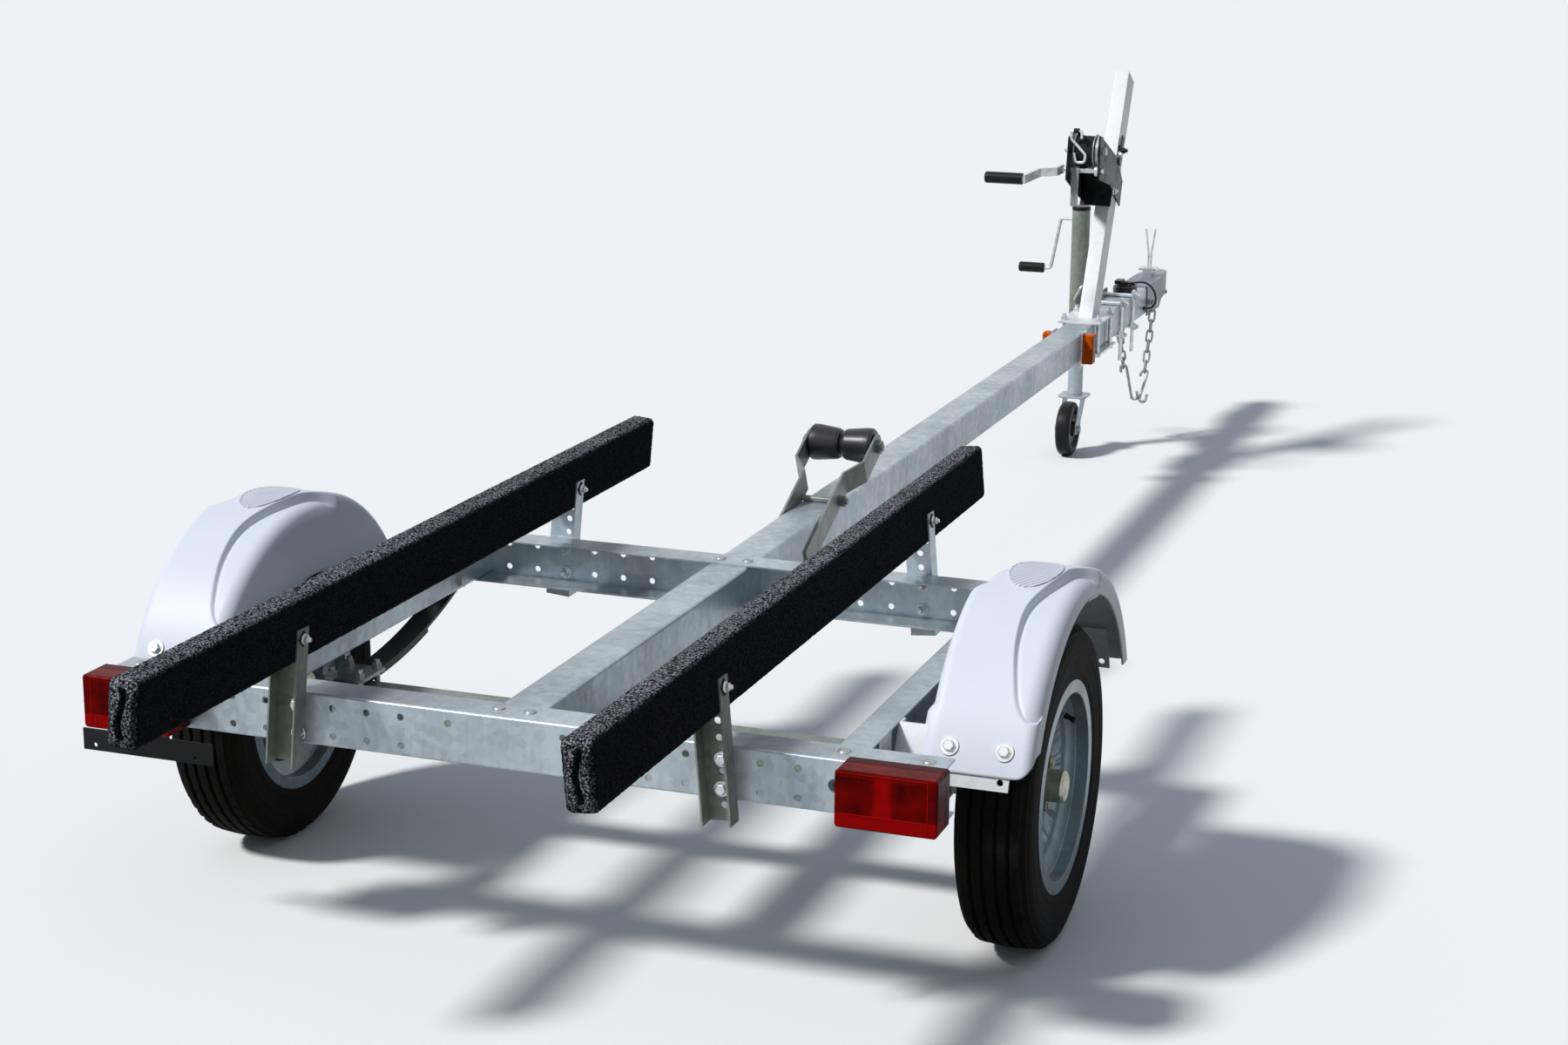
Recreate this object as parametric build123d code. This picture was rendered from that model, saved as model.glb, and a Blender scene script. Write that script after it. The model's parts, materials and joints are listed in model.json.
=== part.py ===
from build123d import *
from collections import namedtuple
from math import acos, atan2, cos, degrees, hypot, radians, sin, sqrt, tan
import os

os.makedirs("parts", exist_ok=True)

# Single-axle boat trailer as it parks: level, on its two wheels and its tongue jack.
# Millimetres. X is to the right, Y is forward to the coupler, Z is up from the ground.
# While modelling, Y is counted from the rear face of the rear crossmember; write() moves
# the whole trailer so that the origin is under the middle of its length.

# General
touch = 0.3           # gap between curved pieces that lie on each other
running = 0.05        # radial clearance of a shaft that turns or slides in its bore
plate = 3.0           # wall of the pressed channels

# Main beam, a square tube from the rear crossmember into the coupler
beam_side = 76.2
beam_wall = 3.2
beam_edge_round = 6.0
bend_round = 4.5        # outside of the pressed channels' bends
beam_top = 435.0
beam_front = 4370.0

# Crossmembers and side rails, pressed channels
cross_half_length = 670.0
cross_depth = 63.0
front_cross_y = 992.6
rail_web_x = 493.6
rail_width = 50.1
hole_pitch = 57.15
hole_radius = 5.6
upper_row_drop = 20.6
lower_row_drop = 65.0
first_hole = 3
last_hole = 8
beam_hole_x = 93.0

# Wheels and axle
track_half = 673.8
axle_y = 497.0
tyre_radius = 257.5
tyre_width = 120.0
tyre_wall = 9.0
tread_half = 44.0
tyre_sides = 64         # flats round the tread
bead_radius = 152.4
rim_flange_radius = 169.5
rim_width = 112.0
rim_wall = 3.5
rim_well_radius = 128.0
disc_face_radius = 86.0
hub_flange_radius = 70.0
hub_flange_thick = 7.0
hub_barrel_radius = 36.0
hub_barrel_length = 64.0
hub_cap_radius = 26.0
hub_cap_x = 729.5
spindle_radius = 14.0
axle_side = 50.8
axle_wall = 4.8
axle_hub_gap = 21.3     # between the axle tube's end and the hub
stud_circle_radius = 57.15
stud_count = 5
stud_radius = 6.3
nut_radius = 10.5
nut_height = 15.0

# Leaf springs and what holds them
spring_width = 42.0
spring_half_length = 360.0
leaf_thickness = 7.0
leaf_count = 2
short_leaf_half = 235.0
eye_z = 375.0
eye_radius = 15.0
eye_bolt_radius = 6.3
spring_tail = 34.0
clamp_plate = 6.0
u_bolt_radius = 5.0
u_bolt_above_plate = 16.0
spring_nut_radius = 9.0
spring_nut_height = 9.0
notch_half = 44.0
hanger_plate = 3.6

# Fenders
fender_crown_radius = 346.0
fender_wall = 3.0
fender_inner_x = 589.0
fender_outer_x = 752.5
fender_outer_lip_radius = 305.0
fender_inner_lip_radius = 212.0
fender_edge_round = 16.0
fender_bottom_z = 377.0
fender_corner_round = 28.0
fender_corner_ease = 0.6
fender_roll_round = 26.0
fender_roll_drop = 13.0
fender_roll_back = 7.5
fender_strip_thick = 4.0
fender_strip_end_x = 720.0
fender_strip_low_z = 357.0
fender_strip_high_z = 434.0
fender_strip_hole_x = 707.0
fender_strip_hole_rise = 12.0
fender_strip_hole_radius = 5.0
fender_tab_length = 22.0
fender_slot_gap = 2.0
fender_slot_relief = 0.5

# Bunks and their brackets, which lean in at the top
bunk_width = 46.0
bunk_height = 100.0
bunk_bottom_z = 492.0
bunk_rear_y = -465.0
bunk_front_y = 1365.0
bunk_edge_round = 6.0
bunk_lean = 5.0
bunk_hole_column = 6
right_bunk_face = 359.5
left_bunk_face = -335.5
bracket_flange = 33.0
bracket_bottom_z = 325.0
bracket_tab_top_z = 545.0
bracket_hole_pitch = 25.4
bracket_hole_count = 6

# Tail lamps and the number plate bracket
lamp_width = 150.0
lamp_height = 85.0
lamp_depth = 60.0
lamp_lens_depth = 38.0
lamp_inner_x = 531.0
lamp_top_z = 445.0
lamp_round = 6.0
grommet_x = 512.0
grommet_z = 398.0
grommet_radius = 13.0
plate_bracket_thick = 3.0
plate_bracket_left_x = -725.0
plate_bracket_right_x = -495.0
plate_bracket_low_z = 300.0
plate_bracket_high_z = 335.0
plate_hole_spacing = 177.8
plate_hole_right_x = -526.0
plate_hole_z = 309.0
plate_hole_radius = 3.5

# Side marker lamps
marker_y = 3460.0
marker_low_z = 352.0
marker_high_z = 430.0
marker_length = 35.0
marker_depth = 27.0
marker_base_thick = 3.0
marker_base_margin = 7.0

# Keel roller and its arms
roller_y = 1573.0
roller_z = 523.0
roller_length = 130.0
roller_end_radius = 36.0
roller_waist_radius = 31.0
roller_groove = 7.0
roller_groove_radius = 20.0
roller_pin_radius = 8.0
arm_width = 50.0
arm_thick = 4.5
arm_slope = 25.0
arm_length = 343.0
arm_end = 25.0
arm_bend_from = 222.0
arm_bend_to = 262.0
arm_spread = 29.0
cross_bolt_radius = 6.0
cross_bolt_along = 190.0
low_bolt_back = 10.0

# Winch post
post_width = 38.1
post_depth = 76.2
post_wall = 3.0
post_rear_y = 3635.0
post_lean = 28.0
post_length = 715.0
base_half_width = 58.0
base_rear_y = 3565.0
base_front_y = 3760.0
base_thick = 6.0
base_bolt_x = 47.0
base_bolt_inset = 26.0
base_bolt_radius = 5.5
base_nut_radius = 9.0
base_nut_height = 9.0
base_bolt_end = 8.0

# Winch on the rear face of the post
winch_plate = 4.0
winch_left_x = -62.0
winch_foot_low = 320.0
winch_foot_high = 430.0
drum_left_x = -50.0
drum_y = 3680.0
drum_z = 882.0
drum_core_radius = 14.0
drum_flange_radius = 46.0
drum_flange = 2.5
drum_shaft_radius = 8.0
strap_width = 50.0
strap_radius = 41.0
strap_thick = 2.5
strap_tail_x = (-47.0, -33.0)
gear_radius = 40.0
gear_width = 8.0
pinion_y = 3654.0
pinion_z = 834.0
pinion_shaft_radius = 7.0
handle_gap = 12.0
handle_reach = 246.0
handle_offset = 36.0
handle_bar = 6.0
handle_bar_width = 22.0
handle_grip_length = 100.0
handle_grip_radius = 15.0
hook_wire = 4.0
hook_top_z = 940.0
hook_path = ((-26, 920), (-26, 940), (-54, 940), (-54, 918), (-15, 878), (-17, 858), (-40, 856), (-46, 882))

# Tongue jack
jack_x = -100.0
jack_y = 3970.0
jack_sleeve_radius = 25.0
jack_sleeve_low_z = 300.0
jack_sleeve_top_z = 685.0
jack_cap_height = 11.0
jack_leg_radius = 21.0
jack_leg_top_z = 505.0
jack_wheel_radius = 76.0
jack_wheel_width = 40.0
jack_trail = 70.0
caster_plate_z = 157.0
caster_plate_thick = 5.0
caster_arm_thick = 4.0
caster_pin_radius = 6.0
caster_nut_height = 9.0
caster_stem_radius = 8.0
crank_z = 658.0
crank_wire_radius = 4.8
crank_drop = 142.0
crank_grip_length = 72.0
crank_grip_radius = 14.0
pivot_z = 397.0
pivot_radius = 12.0
pivot_flange_radius = 30.0
pivot_disc = 8.0
pivot_face_x = -60.0
jack_plate_thick = 6.0
jack_plate_low_z = 338.0
jack_plate_high_z = 458.0
jack_bolt_gap = 145.0
jack_first_bolt_y = 3900.0
jack_bar_width = 26.0
jack_bar_thick = 5.0
jack_bar_low_z = 283.0
jack_bar_high_z = 456.0
jack_bolt_radius = 5.5
jack_nut_radius = 9.5
jack_nut_height = 9.0

# Coupler
coupler_rear_y = 4235.0
coupler_wall = 3.0
coupler_neck_y = 4430.0
ball_y = 4536.0
ball_radius = 25.4
ball_clearance = 0.5
socket_wall = 5.6
socket_mouth_z = 372.0
socket_centre_z = 396.0
skirt_radius = 36.0
skirt_height = 8.0
coupler_tail_low_z = 352.0
latch_half_width = 26.0
latch_y = 4432.0
latch_z = 452.0
latch_height = 10.0
latch_length = 44.0
latch_plate = 6.0
lever_z = 575.0
lever_spread = 14.0
lever_wire = 3.0

# Safety chain
chain_wire = 6.0
chain_link_length = 42.0
chain_link_width = 22.0
chain_pitch = 29.7
chain_hook_wire = 8.0
chain_bolt_radius = 4.4
chain_bolt_head = 8.0
chain_tab = 4.0
chain_hook_bend = 6.0
chain_end_steps = 6     # flats round the end of a link
chain_beam_start = (0.0, 4062.0, 350.8)
chain_coupler_stand_off = 14.0
chain_coupler_start_y = 4262.0
chain_coupler_start_z = 400.0

# Wiring harness parked on the beam
harness_diameter = 6.0
coil_length = 104.0
coil_width = 70.0
coil_height = 28.0
coil_y = 4118.0
coil_hole = 26.0
plug_length = 42.0
plug_width = 22.0
plug_height = 10.0
plug_x = -14.0

# Worked out from the sizes above
winch_right_x = post_width / 2 + winch_plate
hook_y = drum_y - drum_flange_radius - hook_wire - touch
beam_half = beam_side / 2
beam_bottom = beam_top - beam_side
beam_mid_z = beam_top - beam_half
cross_top = beam_top + plate
cross_bottom = beam_bottom - plate
front_cross_rear_y = front_cross_y - cross_depth
front_web_y = front_cross_y - plate
rail_outer_x = rail_web_x + rail_width
axle_half_length = track_half + hub_flange_thick / 2 - hub_barrel_length - axle_hub_gap
fender_mid_x = (fender_inner_x + fender_outer_x) / 2
spring_x = rail_web_x + plate + touch + spring_width / 2
axle_z = tyre_radius
axle_top = axle_z + axle_side / 2
spring_top_z = axle_top + leaf_count * leaf_thickness
bunk_bolt_x = bunk_hole_column * hole_pitch
coupler_half = beam_half + coupler_wall + touch
socket_radius = ball_radius + ball_clearance
ball_house_radius = socket_radius + socket_wall
coupler_front_y = ball_y + skirt_radius
origin_y = (bunk_rear_y + coupler_front_y) / 2


def block(x, y, z):
    """Box between two faces on each axis."""
    size = (x[1] - x[0], y[1] - y[0], z[1] - z[0])
    middle = ((x[0] + x[1]) / 2, (y[0] + y[1]) / 2, (z[0] + z[1]) / 2)
    return Pos(*middle) * Box(*size)


def rod_x(x, y, z, radius):
    """Round bar along X between x[0] and x[1]."""
    return Pos((x[0] + x[1]) / 2, y, z) * Rot(0, 90, 0) * Cylinder(radius, abs(x[1] - x[0]))


def rod_y(x, y, z, radius):
    """Round bar along Y between y[0] and y[1]."""
    return Pos(x, (y[0] + y[1]) / 2, z) * Rot(90, 0, 0) * Cylinder(radius, abs(y[1] - y[0]))


def rod_z(x, y, z, radius):
    """Round bar along Z between z[0] and z[1]."""
    return Pos(x, y, (z[0] + z[1]) / 2) * Cylinder(radius, abs(z[1] - z[0]))


def hexagon_x(x, y, z, radius):
    """Nut or bolt head along X."""
    return Pos((x[0] + x[1]) / 2, y, z) * Rot(0, 90, 0) * extrude(
        RegularPolygon(radius, 6), (x[1] - x[0]) / 2, both=True)


def hexagon_z(x, y, z, radius):
    """Nut or bolt head along Z."""
    return Pos(x, y, (z[0] + z[1]) / 2) * extrude(
        RegularPolygon(radius, 6), (z[1] - z[0]) / 2, both=True)


def side_plate(x, outline):
    """Flat plate between two X planes, its outline given as (Y, Z) points or a face."""
    face = outline if isinstance(outline, Sketch) else make_face(Polyline(*outline, close=True))
    return extrude(Plane.YZ.offset(x[0]) * face, x[1] - x[0])


def radial_plane(y, z):
    """Plane of (X, radius) profiles above an axis along X through (y, z)."""
    return Plane(origin=(0, y, z), x_dir=(1, 0, 0), z_dir=(0, -1, 0))


def ring_about_x(y, z, outline):
    """Ring about an X axis through (y, z) from an outline of (X, radius) points."""
    face = make_face(Polyline(*outline, close=True))
    return revolve(radial_plane(y, z) * face, Axis((0, y, z), (1, 0, 0)), 360)


def strip_outline(points, thick):
    """Outline of a bent strip: its path and the same path moved left by its thickness."""
    moved = []
    last = len(points) - 1
    for i, (px, py) in enumerate(points):
        ax, ay = points[max(i - 1, 0)]
        bx, by = points[min(i + 1, last)]
        before = (px - ax, py - ay) if i > 0 else (bx - px, by - py)
        after = (bx - px, by - py) if i < last else before
        u = (before[0] / hypot(*before), before[1] / hypot(*before))
        v = (after[0] / hypot(*after), after[1] / hypot(*after))
        mitre = thick / (1 + u[0] * v[0] + u[1] * v[1])
        moved.append((px - (u[1] + v[1]) * mitre, py + (u[0] + v[0]) * mitre))
    return list(points) + moved[::-1]


def tube_along(points, radii, radius):
    """Round bar along straight runs joined by tangent arcs."""
    path = FilletPolyline(*points, radius=radii)
    section = Plane(origin=path @ 0, z_dir=path % 0) * Circle(radius)
    return sweep(section, path=path)


def join(*pieces):
    """Pieces welded into one solid."""
    whole = pieces[0]
    for piece in pieces[1:]:
        whole = whole + piece
    return whole


def write(name, *pieces):
    """Write one node, with every solid moved to the trailer's own origin."""
    solids = []
    for piece in pieces:
        solids.extend((Pos(0, -origin_y, 0) * piece).solids())
    shape = solids[0] if len(solids) == 1 else Compound(children=solids)
    export_step(shape, f"parts/{name}.step")


def write_sides(name, *pieces):
    """Write a right-hand node and its left-hand mirror image."""
    write(f"right_{name}", *pieces)
    write(f"left_{name}", *[mirror(piece, about=Plane.YZ) for piece in pieces])


# Frame

def rounded_along(piece, axis, radius):
    """Piece with its edges along an axis rounded."""
    return fillet(piece.edges().filter_by(axis), radius)


def main_beam():
    outer = rounded_along(block((-beam_half, beam_half), (plate, beam_front), (beam_bottom, beam_top)),
                          Axis.Y, beam_edge_round)
    inner_half = beam_half - beam_wall
    bore = block((-inner_half, inner_half), (plate - 1, beam_front + 1),
                 (beam_bottom + beam_wall, beam_top - beam_wall))
    return outer - rounded_along(bore, Axis.Y, beam_edge_round - beam_wall)


def web_holes(y):
    """Two rows of bolt holes in a crossmember's web, on both sides of the beam."""
    holes = []
    for n in range(first_hole, last_hole + 1):
        for drop in (upper_row_drop, lower_row_drop):
            for side in (-1, 1):
                holes.append(rod_y(side * n * hole_pitch, y, cross_top - drop, hole_radius))
    return holes


def rear_crossmember():
    channel = block((-cross_half_length, cross_half_length), (0, cross_depth), (cross_bottom, cross_top))
    channel = fillet(channel.edges().filter_by(Axis.X).group_by(Axis.Y)[0], bend_round)
    channel -= block((-cross_half_length, cross_half_length), (plate, cross_depth), (beam_bottom, beam_top))
    holes = web_holes((-1, plate + 1))
    for side in (-1, 1):
        holes.append(rod_y(side * beam_hole_x, (-1, plate + 1), cross_top - upper_row_drop, hole_radius))
        holes.append(rod_y(side * grommet_x, (-1, plate + 1), grommet_z, grommet_radius - 3))
    return channel - holes


def front_crossmember():
    channel = block((-rail_outer_x, rail_outer_x), (front_cross_rear_y, front_cross_y),
                    (cross_bottom, cross_top))
    channel = fillet(channel.edges().filter_by(Axis.X).group_by(Axis.Y)[-1], bend_round)
    channel -= block((-rail_outer_x, rail_outer_x), (front_cross_rear_y, front_web_y),
                     (beam_bottom, beam_top))
    window = block((-beam_half, beam_half), (front_web_y - 1, front_cross_y + 1), (beam_bottom, beam_top))
    return channel - window - web_holes((front_web_y - 1, front_cross_y + 1))


def right_rail():
    rail_y = (plate, front_web_y)
    rail = block((rail_web_x, rail_outer_x), rail_y, (beam_bottom, beam_top))
    rail = fillet(rail.edges().filter_by(Axis.Y).group_by(Axis.X)[0], bend_round)
    rail -= block((rail_web_x + plate, rail_outer_x), rail_y, (beam_bottom + plate, beam_top - plate))
    for y in (axle_y - spring_half_length, axle_y + spring_half_length):
        inboard = -1 if y > axle_y else 1
        notch_y = sorted((y - inboard * notch_half * 0.6, y + inboard * notch_half * 2.0))
        rail -= block((rail_web_x + plate, rail_outer_x), notch_y, (beam_bottom - 1, beam_bottom + plate))
        rail -= rod_x((rail_web_x - 1, rail_web_x + plate + 1), y, eye_z, eye_bolt_radius)
    return rail


# Axle, springs and wheels

def axle():
    half = axle_side / 2
    inner = half - axle_wall
    tube = block((-axle_half_length, axle_half_length), (axle_y - half, axle_y + half),
                 (axle_z - half, axle_z + half))
    tube -= block((-axle_half_length + 20, axle_half_length - 20), (axle_y - inner, axle_y + inner),
                  (axle_z - inner, axle_z + inner))
    spindle_end = hub_cap_x - 10.0
    return tube + rod_x((-spindle_end, spindle_end), axle_y, axle_z, spindle_radius)


def leaf_arc():
    """Radius and centre height of the main leaf's lower face, through the seat and the eyes."""
    rise = eye_z - eye_radius - (spring_top_z - leaf_thickness)
    radius = (spring_half_length ** 2 + rise ** 2) / (2 * rise)
    return radius, spring_top_z - leaf_thickness + radius


def right_leaf_spring():
    radius, centre_z = leaf_arc()
    x = (spring_x - spring_width / 2, spring_x + spring_width / 2)
    tail_y = axle_y - spring_half_length - spring_tail
    bands = ((0.0, (tail_y, axle_y + spring_half_length)),
             (leaf_thickness, (axle_y - short_leaf_half, axle_y + short_leaf_half)))
    spring = None
    for below, (y0, y1) in bands[:leaf_count]:
        outer = rod_x(x, axle_y, centre_z, radius + below)
        inner = rod_x(x, axle_y, centre_z, radius + below - leaf_thickness)
        band = (outer - inner) & block(x, (y0, y1), (axle_top - leaf_thickness, eye_z + 2 * eye_radius))
        spring = band if spring is None else spring + band
    eye_y = axle_y + spring_half_length
    spring += rod_x(x, eye_y, eye_z, eye_radius)
    spring -= rod_x((x[0] - 1, x[1] + 1), eye_y, eye_z, eye_bolt_radius + touch)
    return spring


def right_spring_hardware():
    """Outer hanger plates with the eye bolts, then the tie plate and U-bolts round the axle."""
    pieces = []
    hanger_x = (rail_outer_x - hanger_plate, rail_outer_x)
    bolt_x = (rail_web_x - 8, rail_outer_x + 8)
    for y in (axle_y - spring_half_length, axle_y + spring_half_length):
        hanger = block(hanger_x, (y - 30, y + 30), (beam_bottom + plate, beam_top - plate))
        bolt = rod_x(bolt_x, y, eye_z, eye_bolt_radius - touch / 2)
        heads = [hexagon_x((bolt_x[0], rail_web_x), y, eye_z, spring_nut_radius + 2),
                 hexagon_x((rail_outer_x, bolt_x[1]), y, eye_z, spring_nut_radius + 2)]
        hanger = join(hanger, bolt, *heads)
        if y < axle_y:
            sleeve_x = (rail_web_x + plate, rail_outer_x - hanger_plate)
            hanger += rod_x(sleeve_x, y, eye_z + 2, eye_radius - leaf_thickness - 2)
        pieces.append(hanger)
    reach_y = axle_side / 2 + u_bolt_radius + touch
    reach_x = spring_width / 2 + u_bolt_radius + touch
    margin = u_bolt_radius + 5
    leaf_rise = (reach_y + margin) ** 2 / (2 * leaf_arc()[0])
    plate_low = spring_top_z + leaf_rise + touch
    plate_z = (plate_low, plate_low + clamp_plate)
    clamp = block((spring_x - reach_x - margin, spring_x + reach_x + margin),
                  (axle_y - reach_y - margin, axle_y + reach_y + margin), plate_z)
    leg_z = (axle_z - axle_side / 2, plate_z[1] + u_bolt_above_plate)
    for dx in (-reach_x, reach_x):
        x = spring_x + dx
        for dy in (-reach_y, reach_y):
            y = axle_y + dy
            clamp += rod_z(x, y, leg_z, u_bolt_radius)
            clamp += hexagon_z(x, y, (plate_z[1], plate_z[1] + spring_nut_height), spring_nut_radius)
            clamp += Pos(x, y, leg_z[0]) * Sphere(u_bolt_radius)
        under_z = leg_z[0] - u_bolt_radius - touch
        clamp += rod_z(x, axle_y - reach_y, (under_z, leg_z[0]), u_bolt_radius)
        clamp += rod_z(x, axle_y + reach_y, (under_z, leg_z[0]), u_bolt_radius)
        clamp += rod_y(x, (axle_y - reach_y, axle_y + reach_y), under_z, u_bolt_radius)
    pieces.append(clamp)
    return pieces


def flat_sided_ring(outline):
    """Ring of flat faces about the X axis from an outline of (X, half width across flats)."""
    stretch = 1 / cos(radians(180 / tyre_sides))

    def corner(point, side):
        turn = radians(360 * (side + 0.5) / tyre_sides)
        return point[0], point[1] * stretch * cos(turn), point[1] * stretch * sin(turn)

    faces = []
    for a, b in zip(outline, outline[1:] + outline[:1]):
        for side in range(tyre_sides):
            corners = [corner(a, side), corner(b, side), corner(b, side + 1), corner(a, side + 1)]
            faces.append(Face(Wire.make_polygon(corners)))
    return Solid(Shell(faces))


def right_tyre():
    half = tyre_width / 2
    bead_x = rim_width / 2 - rim_wall - touch
    bore = bead_radius + touch
    shoulder = tyre_radius - 14
    belly = (tyre_radius + bead_radius) / 2
    outer = [(-bead_x, bore), (-bead_x, rim_flange_radius + touch), (-half, belly), (-half + 4, shoulder),
             (-tread_half, tyre_radius)]
    inner = [(-bead_x + tyre_wall, bore), (-half + tyre_wall, belly), (-tread_half, shoulder)]
    outline = outer + [(-x, r) for x, r in outer[::-1]] + [(-x, r) for x, r in inner] + inner[::-1]
    return Pos(track_half, axle_y, axle_z) * flat_sided_ring(outline)


def right_rim():
    half = rim_width / 2
    seat_x = half - rim_wall
    well_x = 24.0
    outer = [(-half, rim_flange_radius), (-seat_x, rim_flange_radius), (-seat_x, bead_radius),
             (-seat_x + 18, bead_radius), (-well_x, rim_well_radius), (well_x, rim_well_radius),
             (seat_x - 18, bead_radius), (seat_x, bead_radius), (seat_x, rim_flange_radius),
             (half, rim_flange_radius)]
    inner = [(half, bead_radius - rim_wall), (seat_x - 18, bead_radius - rim_wall),
             (well_x, rim_well_radius - rim_wall), (-well_x, rim_well_radius - rim_wall),
             (-seat_x + 18, bead_radius - rim_wall), (-half, bead_radius - rim_wall)]
    barrel = ring_about_x(axle_y, axle_z, outer + inner)
    face = hub_flange_thick / 2
    disc = ring_about_x(axle_y, axle_z, [
        (face, hub_cap_radius + touch), (face + rim_wall, hub_cap_radius + touch),
        (face + rim_wall, disc_face_radius), (well_x - 2, rim_well_radius - rim_wall - 8),
        (well_x - 2, rim_well_radius - 1), (well_x - 2 - rim_wall, rim_well_radius - 1),
        (well_x - 2 - rim_wall, rim_well_radius - rim_wall - 8), (face, disc_face_radius + 2)])
    rim = barrel + disc
    for i in range(stud_count):
        turn = 360 * i / stud_count + 90
        y = axle_y + stud_circle_radius * cos(radians(turn))
        z = axle_z + stud_circle_radius * sin(radians(turn))
        rim -= rod_x((face - 1, face + rim_wall + 1), y, z, stud_radius + touch)
    return Pos(track_half, 0, 0) * rim


def right_hub():
    face = hub_flange_thick / 2
    barrel_end = face - hub_barrel_length
    cap_end = hub_cap_x - track_half
    outline = [(barrel_end, spindle_radius + running), (barrel_end, hub_barrel_radius),
               (-face, hub_barrel_radius), (-face, hub_flange_radius), (face, hub_flange_radius),
               (face, hub_cap_radius), (cap_end - 4, hub_cap_radius), (cap_end, hub_cap_radius - 4),
               (cap_end, 0), (cap_end - 4, 0), (cap_end - 4, spindle_radius + running)]
    hub = ring_about_x(axle_y, axle_z, outline)
    for i in range(stud_count):
        turn = 360 * i / stud_count + 90
        y = axle_y + stud_circle_radius * cos(radians(turn))
        z = axle_z + stud_circle_radius * sin(radians(turn))
        hub += rod_x((face, face + rim_wall + nut_height), y, z, stud_radius)
        hub += hexagon_x((face + rim_wall, face + rim_wall + nut_height - 3), y, z, nut_radius)
    return Pos(track_half, 0, 0) * hub


# Fenders

# Crease between the crown's band and the roll beside it, in plan: across from the fender's
# middle, forward of the axle, and the round of the corner
CreaseCorner = namedtuple("CreaseCorner", "across forward round")
fender_crease = (CreaseCorner(100.0, 121.0, 0.0), CreaseCorner(45.0, 60.0, 60.0),
                 CreaseCorner(44.0, -15.0, 90.0), CreaseCorner(15.0, -125.0, 120.0),
                 CreaseCorner(22.0, -200.0, 120.0), CreaseCorner(50.0, -278.0, 22.0),
                 CreaseCorner(100.0, -279.0, 0.0))


def crown_block(inset, edge_round, back, drop):
    """Everything inside a crown whose centre lies back from the axle and below it."""
    r = edge_round - inset
    top = fender_crown_radius - inset
    x0, x1 = fender_inner_x + inset, fender_outer_x - inset
    with BuildSketch() as section:
        with BuildLine():
            Line((x0, 0), (x0, top - r))
            RadiusArc((x0, top - r), (x0 + r, top), r)
            Line((x0 + r, top), (x1 - r, top))
            RadiusArc((x1 - r, top), (x1, top - r), r)
            Line((x1, top - r), (x1, 0))
            Line((x1, 0), (x0, 0))
        make_face()
    centre_y, centre_z = axle_y - back, axle_z - drop
    wheel_axis = Axis((0, centre_y, centre_z), (1, 0, 0))
    profile = (radial_plane(centre_y, centre_z) * section.sketch).rotate(wheel_axis, 90)
    return revolve(profile, wheel_axis, -180)


def roll_region(grow):
    """Upright block over the rolled part, from the crease out past the fender's side."""
    outline = [(corner.across, corner.forward) for corner in fender_crease]
    region = make_face(Polyline(*outline, close=True))
    for corner in fender_crease:
        if corner.round:
            place = (corner.across, corner.forward, 0)
            region = fillet(region.vertices().sort_by_distance(place)[0], corner.round)
    if grow:
        region = offset(region, grow, kind=Kind.ARC)
    return Pos(fender_mid_x, axle_y, axle_z) * extrude(region, fender_crown_radius + 10)


def end_for_end(x, piece):
    """Piece turned half round about an upright line through the axle."""
    place = Pos(x, axle_y, 0)
    return place * Rot(0, 0, 180) * place.inverse() * piece


def fender_block(inset):
    """Band with a roll on one side of its rear half and on the other side of its front half."""
    region = roll_region(inset)
    roll = crown_block(inset, fender_roll_round, fender_roll_back, fender_roll_drop) & region
    band = crown_block(inset, fender_edge_round, 0, 0) - region - end_for_end(fender_mid_x, region)
    return band + roll + end_for_end(fender_mid_x, roll)


def right_fender():
    """Moulding that is the same end for end but for its walls, the outer of which is shallow."""
    x0, x1 = fender_inner_x, fender_outer_x
    arch = fender_block(0) - fender_block(fender_wall)
    arch -= rod_x((x0 - 1, fender_mid_x), axle_y, axle_z, fender_inner_lip_radius)
    arch -= rod_x((fender_mid_x, x1 + 1), axle_y, axle_z, fender_outer_lip_radius)
    reach = fender_crown_radius + 10
    arch &= block((x0 - 5, x1 + 5), (axle_y - reach, axle_y + reach),
                  (fender_bottom_z, axle_z + reach))
    cr = fender_corner_round
    corner = block((x1 - cr, x1 + 5), (axle_y - reach, axle_y), (fender_bottom_z - 1, fender_bottom_z + cr))
    corner -= rod_y(x1 - cr, (axle_y - reach - 1, axle_y + 1), fender_bottom_z + cr, cr + fender_corner_ease)
    arch -= corner
    inner_radius = fender_crown_radius - fender_wall
    slot_x = (x0 - 1, x0 + fender_edge_round + fender_slot_gap)
    slot = block(slot_x, (axle_y - reach, axle_y + reach),
                 (fender_bottom_z - 1, fender_strip_high_z + fender_slot_gap))
    ring = rod_x(slot_x, axle_y, axle_z, inner_radius + fender_slot_relief)
    ring -= rod_x((slot_x[0] - 1, slot_x[1] + 1), axle_y, axle_z,
                  inner_radius - fender_strip_thick - touch - fender_slot_gap)
    return arch - (slot & ring)


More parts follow.
